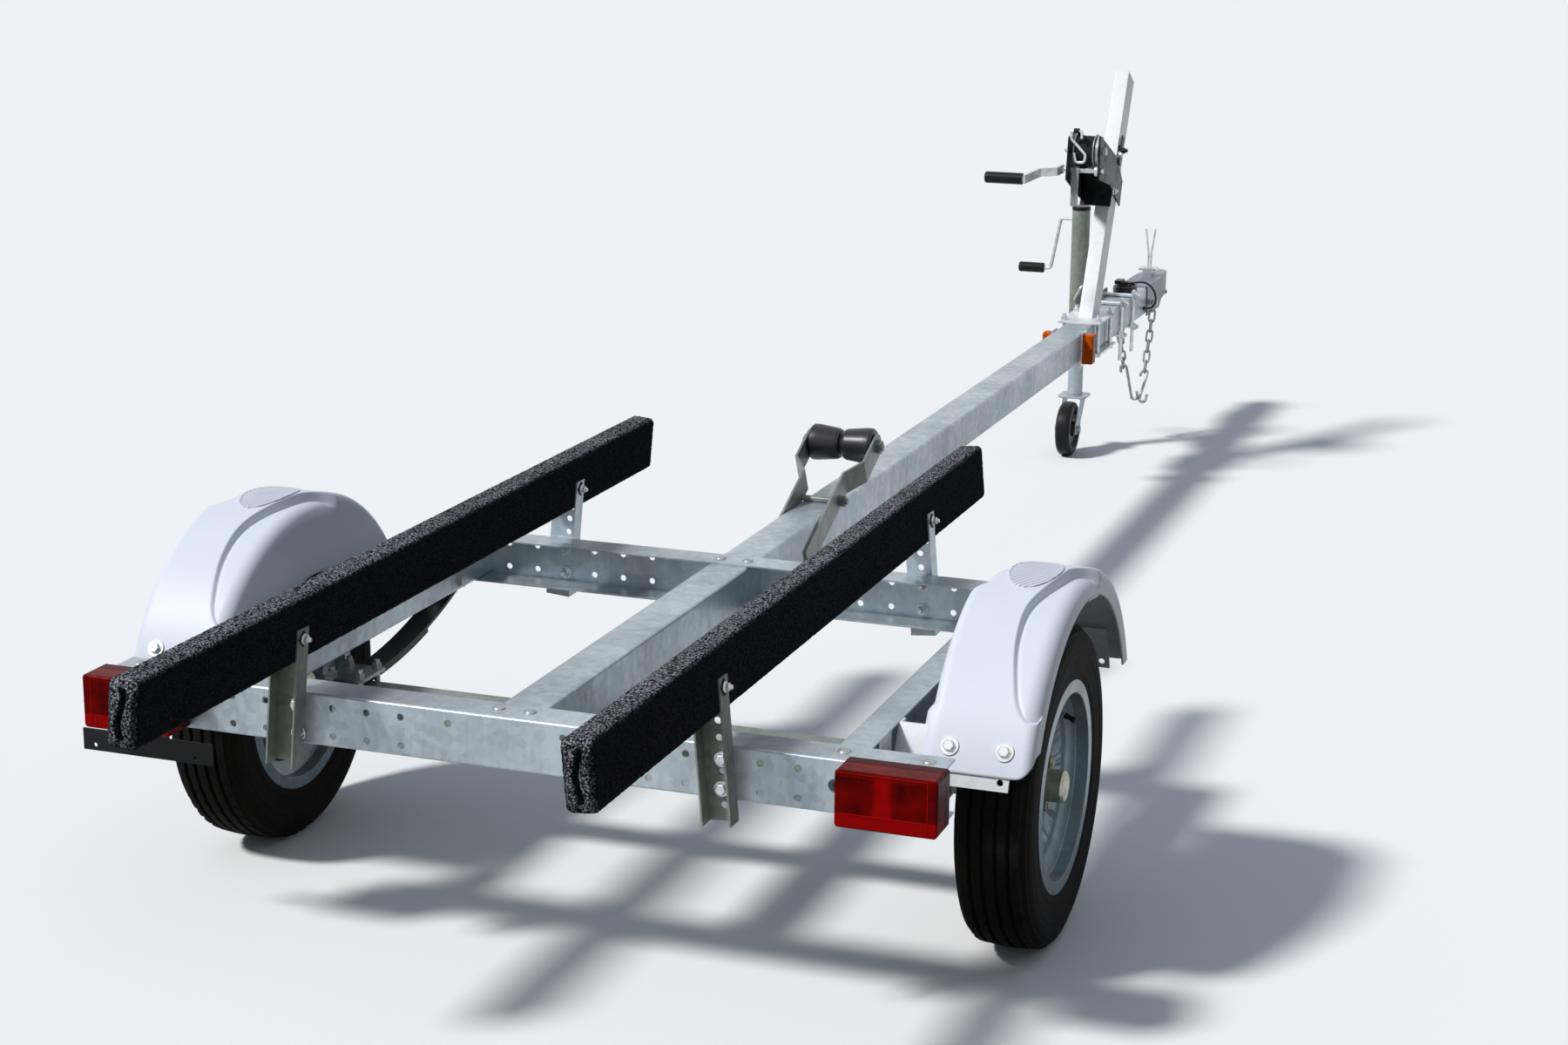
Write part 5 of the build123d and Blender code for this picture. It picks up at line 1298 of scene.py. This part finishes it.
@dataclass
class Bunk:
    """One carpeted board, leaned in at the top, with its brackets; sizes in millimetres."""

    side: str
    face: float
    pivot_x: float
    lean: float
    width: float = 46.0
    height: float = 100.0
    bottom_z: float = 492.0
    rear_y: float = -465.0
    front_y: float = 1365.0
    edge: float = 9.0
    pivot_z: float = 396.9
    pile: float = 1.1
    row_pitch: float = 3.4
    point_pitch: float = 2.6
    end_round: float = 7.0
    end_shrink: float = 0.22
    end_rings: int = 16
    end_bulge: float = 4.0
    cleft_depth: float = 11.0
    cleft_half: float = 3.4
    cleft_margin: float = 6.0
    cleft_fade: float = 10.0
    cleft_wander: float = 2.6
    cleft_wave: float = 10.0
    cleft_slant: float = 0.04
    rear_bolt_y: float = -18.0
    front_bolt_y: float = 1010.0
    bolt_z: float = 530.0
    strap_thick: float = 3.2
    washer_thick: float = 2.0
    seed: int = 11

    def leaned(self, points: Array) -> Array:
        """Turn points about the bolt line on the crossmember, along Y, by the lean.

        Args:
            points: X, Y and Z of an upright board.
        Returns:
            Where they are on the leaned one.
        """
        turn = radians(self.lean)
        x, z = points[..., 0] - self.pivot_x, points[..., 2] - self.pivot_z
        moved = points.copy()
        moved[..., 0] = self.pivot_x + x * cos(turn) + z * sin(turn)
        moved[..., 2] = self.pivot_z - x * sin(turn) + z * cos(turn)
        return moved

    def section(self) -> tuple[Array, Array]:
        """Rounded rectangle: four quarter circles, with points at an even pitch on the sides.

        Returns:
            Points about the middle, and the outward direction at each.
        """
        half = np.array((self.width, self.height)) / 2 - self.edge
        signs = np.repeat(((1, 1), (-1, 1), (-1, -1), (1, -1)), 6, axis=0)
        turn = (np.linspace(0.0, pi / 2, 6) + np.arange(4)[:, None] * pi / 2).ravel()
        out = np.stack([np.cos(turn), np.sin(turn)], -1)
        corners = half * signs + self.edge * out
        steps = np.roll(corners, -1, 0) - corners
        count = np.maximum(1, (np.linalg.norm(steps, axis=1) / self.point_pitch).astype(int))
        index = np.repeat(np.arange(len(count)), count)
        past = np.arange(len(index)) - np.repeat(np.cumsum(count) - count, count)
        return corners[index] + steps[index] * (past / count[index])[:, None], out[index]

    def end_cap(self, ring: Array, middle: Array, y: float, inward: float) -> Array:
        """Face of one end, as rings drawn in to the middle.

        Args:
            ring: outline of the end about the board's middle.
            middle: the board's middle, X and Z.
            y: place of the end.
            inward: 1 where the board lies forward of the end, else -1.
        Returns:
            Points ring by ring. The face bulges by a fourth power of the distance from the
            middle, and a wavy cleft with a bell-shaped section runs down it, where the carpet's
            two folded edges meet.
        """
        scale = np.linspace(0.94, 0.0, self.end_rings)[:, None]
        across, upright = ring[None, :, 0] * scale, ring[None, :, 1] * scale
        wander = self.cleft_wander * np.sin(upright / self.cleft_wave + self.seed)
        wander += self.cleft_slant * upright
        cleft = self.cleft_depth * np.exp(-((across - wander) / self.cleft_half) ** 2)
        cleft *= smooth_step((self.height / 2 - self.cleft_margin - np.abs(upright)) / self.cleft_fade)
        rng = np.random.default_rng(self.seed + 7)
        pile = self.pile * rng.random(across.shape) * smooth_step(scale * 4.0)
        depth = cleft - self.end_bulge * (1 - scale ** 4) - pile
        return np.stack([middle[0] + across, y + inward * depth, middle[1] + upright], -1)

    def cover(self) -> None:
        """Carpet: the section carried along the board, raised at each point by an uneven pile and
        drawn in at the two ends."""
        points, out = self.section()
        rng = np.random.default_rng(self.seed)
        rows = int((self.front_y - self.rear_y) / self.row_pitch)
        y = np.linspace(self.rear_y, self.front_y, rows)
        pile = self.pile * rng.random((rows, len(points))) ** 0.7 - self.pile * 0.5
        from_end = np.minimum(y - self.rear_y, self.front_y - y)
        near_end = np.clip(1 - from_end / self.end_round, 0, 1)
        drawn = (1 - np.sqrt(1 - near_end ** 2))[:, None, None]
        ring = points[None] * (1 - self.end_shrink * drawn) + out[None] * pile[..., None]
        middle = np.array((self.face - self.width / 2, self.bottom_z + self.height / 2))
        board = np.stack([middle[0] + ring[..., 0], np.broadcast_to(y[:, None], pile.shape),
                          middle[1] + ring[..., 1]], -1)
        rear = self.end_cap(ring[0], middle, y[0], 1.0)[::-1]
        front = self.end_cap(ring[-1], middle, y[-1], -1.0)
        covered = placed(self.leaned(np.concatenate([rear, board, front])))
        make_piece(f"{self.side}_bunk_cover", grid_shape(covered, round_cols=True), carpet, sharp=180.0,
                   stands_for=(f"{self.side}_bunk",))

    def hardware(self) -> None:
        """Brackets, and the bolt that ties each bracket's flange to the board."""
        soften(f"{self.side}_rear_bunk_bracket", dark_zinc_painted_grass, 0.8)
        soften(f"{self.side}_front_bunk_bracket", galvanised, 0.8)
        out = (cos(radians(self.lean)), 0.0, -sin(radians(self.lean)))
        under = self.face + self.strap_thick
        layers = (("washers", black_rubber, under, Head.PAD, 13.0, 0.0),
                  ("bolts", bright_zinc, under + self.washer_thick, Head.NUT, 6.5, 8.5))
        for kind, finish, x, head, size, washer in layers:
            ats = [place(*self.leaned(np.array((x, y, self.bolt_z))))
                   for y in (self.rear_bolt_y, self.front_bolt_y)]
            fasten(f"{self.side}_bunk_{kind}", [Fastener(at, out, head, size, washer) for at in ats], finish)

    def build(self) -> None:
        """Cover and hardware."""
        self.cover()
        self.hardware()


# Running gear


@dataclass
class Springs(Assembly):
    """Axle, leaf springs and what holds them."""

    softened: Softened = (
        ("axle", dark_zinc_painted_grass, 1.5),
        ("left_leaf_spring", black_paint, 0.6), ("right_leaf_spring", black_paint, 0.6),
        ("left_spring_hardware", dull_zinc, 0.5), ("right_spring_hardware", dull_zinc, 0.5))


# Lamps


@dataclass
class Lamps(Assembly):
    """Tail lamps, the number plate bracket and the side marker lamps; sizes in millimetres."""

    softened: Softened = (
        ("left_tail_lamp", lamp_case, 0.8), ("right_tail_lamp", lamp_case, 0.8),
        ("left_tail_lens", red_lens, 1.2), ("right_tail_lens", red_lens, 1.2),
        ("plate_bracket", black_paint, 0.6), ("marker_lamp_plates", bright_zinc, 0.6),
        ("marker_lamp_lenses", amber_lens, 0.8))
    inner_x: float = 531.0
    width: float = 150.0
    top_z: float = 445.0
    low_z: float = 360.0
    face_y: float = -60.0
    left_shift: float = -3.0
    teeth: int = 30
    foot_high: float = 382.0
    grommet: Point = (524.0, -1.0, 398.0)
    grommet_size: float = 14.0

    def ribs(self, sign: int, face: float) -> list[Shape]:
        """Fine teeth under a lens's upper edge, its upper edge's bead, the upright bead at its outer
        end and the beads round its foot, as thin boxes that stand out of the face.

        Args:
            sign: 1 for the right lamp, -1 for the left.
            face: place of the lens's rear face along Y.
        Returns:
            The boxes.
        """
        edge = self.inner_x + self.width
        pitch = (self.width - 26.0) / self.teeth
        spans = [(self.inner_x + 6 + pitch * k, self.inner_x + 7 + pitch * k, self.top_z - 9, self.top_z - 5)
                 for k in range(self.teeth)]
        spans += [(self.inner_x + 4, edge - 14, self.top_z - 4, self.top_z - 2.6),
                  (edge - 15, edge - 14, self.low_z + 4, self.top_z - 4),
                  (self.inner_x + 5, edge - 22, self.foot_high - 1, self.foot_high + 0.2),
                  (edge - 23, edge - 22, self.low_z + 4, self.foot_high)]
        return [box_shape(place(min(sign * low, sign * high), face - 0.7, bottom),
                          place(max(sign * low, sign * high), face + 0.5, top))
                for low, high, bottom, top in spans]

    def add(self) -> None:
        """The ribs on each lamp's face and the grommets beside the lamps."""
        for side, sign, shift in (("right", 1, 0.0), ("left", -1, self.left_shift)):
            make_piece(f"{side}_lens_ribs", joined(self.ribs(sign, self.face_y + shift)), red_rib_painted_glint)
        x, y, z = self.grommet
        grommets = [Fastener(place(end, y, z), to_rear, Head.DOME, self.grommet_size) for end in (x, -x)]
        fasten("lamp_grommets", grommets, black_rubber)


# Keel roller


@dataclass
class Roller(Assembly):
    """Keel roller and its arms."""

    softened: Softened = (("roller_bracket", arm_zinc_painted_grass, 0.9), ("keel_roller", roller_rubber, 0.8))


# Winch


@dataclass
class Winch(Assembly):
    """Winch post and hand winch; sizes in millimetres."""

    softened: Softened = (
        ("winch_post", zinc_painted_sunlight, 1.0), ("post_clamp", bright_zinc, 0.5),
        ("winch_frame", black_paint, 0.6), ("winch_drum", dull_zinc, 0.5), ("winch_strap", webbing, 0.5),
        ("winch_hook", bright_zinc, 0.0), ("winch_handle", bright_zinc, 0.5),
        ("winch_handle_grip", black_plastic, 0.5))
    drum_y: float = 3680.0
    drum_z: float = 882.0
    frame_left: float = -66.0
    frame_right: float = 23.4
    foot_bolts: tuple[Band, ...] = ((3812.0, 762.0), (3862.0, 856.0))
    gear_x: Band = (8.0, 16.0)
    gear_radius: float = 40.0
    gear_rim: float = 8.0
    teeth: int = 44
    tooth_half: float = 0.9
    strap_low: Point = (-53.0, 3636.6, 739.0)
    strap_high: Point = (-33.0, 3638.6, 842.0)

    def gear(self) -> Shape:
        """Toothed rim of the large gear: its radius rises and falls with a flattened wave."""
        steps = self.teeth * 8
        turn = full_turn(steps)
        wave = np.clip(1.6 * np.sin(turn * self.teeth), -1, 1)
        radius = self.gear_radius + self.tooth_half * wave
        inner = np.full(steps, self.gear_radius - self.gear_rim)
        left, right = self.gear_x
        x, out = np.array([(np.full(steps, x), r) for x, r in (
            (left, inner), (left, radius), (right, radius), (right, inner))]).transpose(1, 0, 2)
        points = np.stack([x, self.drum_y + out * np.cos(turn), self.drum_z + out * np.sin(turn)], -1)
        return grid_shape(placed(points), True, True)

    def nuts(self) -> list[Fastener]:
        """A nut and a bolt head on the drum's shaft, and nuts on the bolts that pass behind the post."""
        drum = (self.drum_y, self.drum_z)
        found = [Fastener(place(self.frame_left, *drum), to_left, Head.NUT, 9.5, 13.0),
                 Fastener(place(self.frame_right, *drum), to_right, Head.HEX, 9.0, 12.0)]
        return found + [Fastener(place(self.frame_right, *spot), to_right, Head.NUT, 7.5, 10.0)
                        for spot in self.foot_bolts]

    def add(self) -> None:
        """The gear's teeth, the nuts and the strap's loose end."""
        make_piece("winch_gear_teeth", self.gear(), dull_zinc)
        fasten("winch_nuts", self.nuts(), bright_zinc)
        # Loose end of the strap, pale with painted sunlight.
        strap_end = box_shape(place(*self.strap_low), place(*self.strap_high))
        make_piece("winch_strap_end", strap_end, webbing_painted_sunlight)


# Jack


@dataclass
class TongueJack(Assembly):
    """Swing-up jack with its caster wheel; sizes in millimetres."""

    softened: Softened = (
        ("jack_bracket", bright_zinc, 0.6), ("jack_sleeve", dark_zinc_painted_grass, 0.5),
        ("jack_cap", black_plastic, 0.6), ("jack_crank", bright_zinc, 0.0),
        ("jack_crank_grip", black_plastic, 0.6), ("jack_leg", galvanised, 0.4),
        ("jack_caster", galvanised, 0.8), ("jack_wheel", black_plastic, 0.8))
    pin_corners: tuple[Point, ...] = (
        (-66.0, 3962.0, 476.0), (-84.0, 3944.0, 476.0), (-88.0, 3940.0, 470.0), (-104.0, 3938.0, 436.0))
    pin_radius: float = 3.2
    pin_bend: float = 8.0
    pin_flat_normal: Point = (0.4, -0.9, 0.1)

    def add(self) -> None:
        """Pin that locks the swing: a bar that comes out of the bracket and hangs down."""
        path = rounded_path([place(*corner) for corner in self.pin_corners], self.pin_bend * mm, 6)
        pin = tube(path, self.pin_radius * mm, self.pin_flat_normal)
        make_piece("jack_pull_pin", pin, bright_zinc)


# Coupler and chain


@dataclass
class Coupler(Assembly):
    """Ball coupler with its latch, and the chain's bolts."""

    softened: Softened = (
        ("coupler_body", coupler_zinc_painted_sky, 1.4), ("coupler_latch", bright_zinc, 0.6),
        ("chain_anchors", dull_zinc, 0.5))


@dataclass(frozen=True)
class ChainLeg:
    """One leg of chain, in the frame's own measure from the rear crossmember, in millimetres."""

    start: Point
    end: Point
    low: Point


@dataclass
class SafetyChain:
    """Two legs of welded chain and their hooks; sizes in millimetres."""

    wire: float = 6.0
    link_length: float = 42.0
    link_width: float = 22.0
    pitch: float = 29.7
    hook_wire: float = 8.0
    hook_play: float = 2.0
    hook_back: float = 20.0
    hook_point: float = 24.0
    gap: float = 0.3
    legs: tuple[ChainLeg, ...] = (
        ChainLeg((0.0, 4062.0, 350.8), (0.0, 4136.0, 222.0), (14.0, 4163.0, 118.0)),
        ChainLeg((55.4, 4262.0, 400.0), (49.4, 4200.0, 196.0), (34.0, 4163.0, 118.0)))

    @staticmethod
    def bar(path: Array, wire: float, flat_normal: Array, closed: bool = False) -> Shape:
        """Round bar of a wire's thickness along a path in millimetres."""
        return tube(placed(path), wire / 2 * mm, flat_normal, 12, closed)

    def link(self, centre: Array, along: Array, across: Array) -> Shape:
        """One link: a bar round a path of two half circles joined by straight sides.

        Args:
            centre: the link's middle.
            along: direction of its length.
            across: direction of its width.
        Returns:
            Points and faces.
        """
        bend = (self.link_width - self.wire) / 2
        straight = (self.link_length - self.link_width) / 2
        turn = np.linspace(-pi / 2, pi / 2, 9)
        far = np.stack([straight + bend * np.cos(turn), bend * np.sin(turn)], -1)
        flat = np.concatenate([far, -far])
        path = centre + flat[:, :1] * along + flat[:, 1:] * across
        return self.bar(path, self.wire, np.cross(along, across), closed=True)

    def hook(self, at: Array, low: Array) -> Shape:
        """S-hook: a bar that bends round the last link, runs down and turns up at its point.

        Args:
            at: where the last link's end hangs.
            low: the foot of the hook.
        Returns:
            Points and faces.
        """
        along = unit(low - at)
        across = unit(np.cross(along, to_front))
        rise = self.hook_wire / 2 + self.wire / 2 + self.gap
        bend = self.hook_wire / 2 + self.wire / 2 + self.hook_play
        length = np.linalg.norm(low - at) + rise
        flat = ((-2 * bend, self.hook_back), (-2 * bend, 0), (0, 0), (0, length), (2 * bend, length),
                (2 * bend, length - self.hook_point))
        corners = [at + across * (u + bend) + along * (v - rise) for u, v in flat]
        return self.bar(rounded_path(corners, bend * 1.25, 9), self.hook_wire, np.cross(along, across))

    def build(self) -> None:
        """Every link stands a quarter turn from the last."""
        shapes = []
        for leg in self.legs:
            start, end = np.array(leg.start), np.array(leg.end)
            along = unit(end - start)
            count = int(np.linalg.norm(end - start) // self.pitch)
            for i in range(count):
                centre = start + along * (self.pitch * i + self.link_length / 2)
                across = unit(to_right if i % 2 else np.cross(along, to_right))
                shapes.append(self.link(centre, along, across))
            last = start + along * (self.pitch * (count - 1) + self.link_length - self.wire / 2)
            shapes.append(self.hook(last, np.array(leg.low)))
        make_piece("safety_chain_links", joined(shapes), dull_zinc, sharp=80.0, stands_for=("safety_chain",))


# Wiring


@dataclass
class Harness:
    """Wiring that comes out of the beam's side and lies in a coil on top of it; millimetres."""

    diameter: float = 6.0
    route: tuple[Point, ...] = (
        (41.1, 4200.0, 380.0), (63.0, 4200.0, 380.0), (75.0, 4195.0, 403.0), (73.0, 4186.0, 431.0),
        (60.0, 4176.0, 452.0), (42.0, 4163.0, 463.0))
    coil_y: float = 4118.0
    coil_base_z: float = 438.6
    layer: float = 6.4
    inner: Band = (23.5, 39.5)
    outer: Band = (31.0, 48.0)
    per_turn: int = 16
    inner_turns: int = 3
    outer_turns: int = 3
    last_turn: float = 0.35
    first_angle: float = 1.15
    stray: float = 0.5

    def coil(self) -> Array:
        """Turns as ellipses: down through the inner ones, out at the bottom, up the outer ones.

        The turn's half lengths go from the inner to the outer pair over a quarter turn at the
        bottom, and each turn is a little off the others' place.
        """
        turns = self.inner_turns + self.outer_turns + self.last_turn
        done = np.arange(int(turns * self.per_turn)) / self.per_turn
        out = smooth_step((done - self.inner_turns + 0.1) / 0.3)
        stray = self.stray * np.sin(1.7 * done + 0.6)
        half_x, half_y = [low + (high - low) * out + stray for low, high in zip(self.inner, self.outer)]
        height = np.where(done < self.inner_turns, self.inner_turns - done, done - self.inner_turns)
        angle = self.first_angle + 2 * pi * done
        return np.stack([half_x * np.cos(angle), self.coil_y + half_y * np.sin(angle),
                         self.coil_base_z + self.layer * height], -1)

    def build(self) -> None:
        """One curve for the lead and its coil, the plug and the sleeve that it leaves by."""
        points = placed(np.concatenate([np.array(self.route), self.coil()]))
        line = bpy.data.curves.new("harness_cord", "CURVE")
        line.dimensions = "3D"
        spline = line.splines.new("NURBS")
        spline.points.add(len(points) - 1)
        spline.points.foreach_set("co", np.concatenate([points, np.ones((len(points), 1))], 1).ravel())
        spline.order_u = 3
        spline.use_endpoint_u = True
        spline.resolution_u = 6
        line.bevel_depth = self.diameter / 2 * mm
        line.bevel_resolution = 3
        line.use_fill_caps = True
        cord = bpy.data.objects.new("harness_cord", line)
        bpy.context.scene.collection.objects.link(cord)
        settle(cord, cord_jacket, "frame", ("harness_lead", "harness_coil"))
        plug = soften("harness_plug", black_plastic, 0.8)
        sleeve = soften("harness_grommet", black_rubber, 0.0)
        self.length(points)

    @staticmethod
    def length(points: Array) -> float:
        """Length of the spline, which halves each corner: runs between the runs' middles."""
        middles = np.concatenate([points[:1], (points[1:] + points[:-1]) / 2, points[-1:]])
        return float(np.linalg.norm(np.diff(middles, axis=0), axis=1).sum())


# Studio


@dataclass(frozen=True)
class Sun:
    """Distant light that shines from a spot to the origin, with its spread in degrees."""

    name: str
    spot: Point
    spread: float
    power: float


@dataclass
class Studio:
    """Camera, light, floor and background."""

    focal_pixels: float = 3136.72
    image_width: float = 1800.0
    sensor: float = 36.0
    eye: Point = (1.65589, -3.46459 - frame_middle_y, 1.70904)
    yaw: float = 19.4508
    pitch: float = -14.2717
    roll: float = 0.5828
    sight: float = 200.0
    suns: tuple[Sun, ...] = (
        Sun("key", (-2.5, -2.5, 3.55), 8.0, 2.95), Sun("fill", (4.0, -3.0, 3.0), 60.0, 0.06))
    low_sky: Colour = (0.09, 0.10, 0.09)
    high_sky: Colour = (0.26, 0.30, 0.38)
    high_sky_from: float = 0.8
    seen_sky: Colour = (0.90, 0.90, 0.90)
    floor_reach: float = 80.0

    def camera(self) -> None:
        """Camera at the photograph's place, its axes from yaw, pitch and roll."""
        yaw, pitch, roll = radians(self.yaw), radians(self.pitch), radians(self.roll)
        ahead = Vector((-sin(yaw) * cos(pitch), cos(yaw) * cos(pitch), sin(pitch)))
        level = Vector((cos(yaw), sin(yaw), 0.0))
        upright = level.cross(ahead)
        right = level * cos(roll) + upright * sin(roll)
        top = upright * cos(roll) - level * sin(roll)
        data = bpy.data.cameras.new("photo_camera")
        data.sensor_width = self.sensor
        data.sensor_fit = "HORIZONTAL"
        data.lens = self.focal_pixels / self.image_width * self.sensor
        data.clip_end = self.sight
        camera = bpy.data.objects.new("photo_camera", data)
        turn = Matrix((right, top, -ahead)).transposed().to_4x4()
        camera.matrix_world = Matrix.Translation(self.eye) @ turn
        bpy.context.scene.collection.objects.link(camera)
        bpy.context.scene.camera = camera

    def lights(self) -> None:
        """A high sun from the left rear, and a weak broad one from the right."""
        for sun in self.suns:
            data = bpy.data.lights.new(sun.name, "SUN")
            data.angle = radians(sun.spread)
            data.energy = sun.power
            lamp = bpy.data.objects.new(sun.name, data)
            lamp.location = sun.spot
            lamp.rotation_euler = (-Vector(sun.spot)).to_track_quat("-Z", "Y").to_euler()
            bpy.context.scene.collection.objects.link(lamp)

    def world(self) -> None:
        """Pale studio all round: near white in view and in reflections, and softly graded light."""
        bench = NodeBench("studio", world=True)
        bpy.context.scene.world = bench.owner
        direction = bench.node("ShaderNodeTexCoord").outputs["Generated"]
        ramp = bench.node("ShaderNodeValToRGB", {0: bench.parts(direction)[2]})
        low, high = ramp.color_ramp.elements
        low.color = (*self.low_sky, 1.0)
        high.color = (*self.high_sky, 1.0)
        high.position = self.high_sky_from
        bench.set(Color=bench.mix(bench.seen(), ramp.outputs[0], self.seen_sky))

    def floor(self) -> None:
        """Wide pale floor that keeps the trailer's shadow."""
        side = self.floor_reach
        mesh = bpy.data.meshes.new("floor")
        mesh.from_pydata([(-side, -side, 0), (side, -side, 0), (side, side, 0), (-side, side, 0)], [],
                         [(0, 1, 2, 3)])
        floor = bpy.data.objects.new("floor", mesh)
        bpy.context.scene.collection.objects.link(floor)
        mesh.materials.append(material_of(PaleFloor()))

    def build(self) -> None:
        """Set the stage."""
        bpy.context.scene.view_settings.view_transform = "Standard"
        self.camera()
        self.world()
        self.lights()
        self.floor()


def main() -> None:
    """Build every sub-assembly in order."""
    logging.basicConfig(level=logging.INFO, format="%(message)s")
    right_bunk = Bunk("right", face=359.5, pivot_x=342.9, lean=-5.0)
    left_bunk = Bunk("left", face=-335.5, pivot_x=-342.9, lean=5.0, seed=12)
    assemblies = [
        Studio(), Harness(), ChannelFrame(), Wheel("right", 1), Wheel("left", -1), Fender("right", 1),
        Fender("left", -1), Springs(), right_bunk, left_bunk, Lamps(), Roller(), Winch(), TongueJack(),
        Coupler(), SafetyChain()]
    for assembly in assemblies:
        assembly.build()


if __name__ == "__main__":
    main()
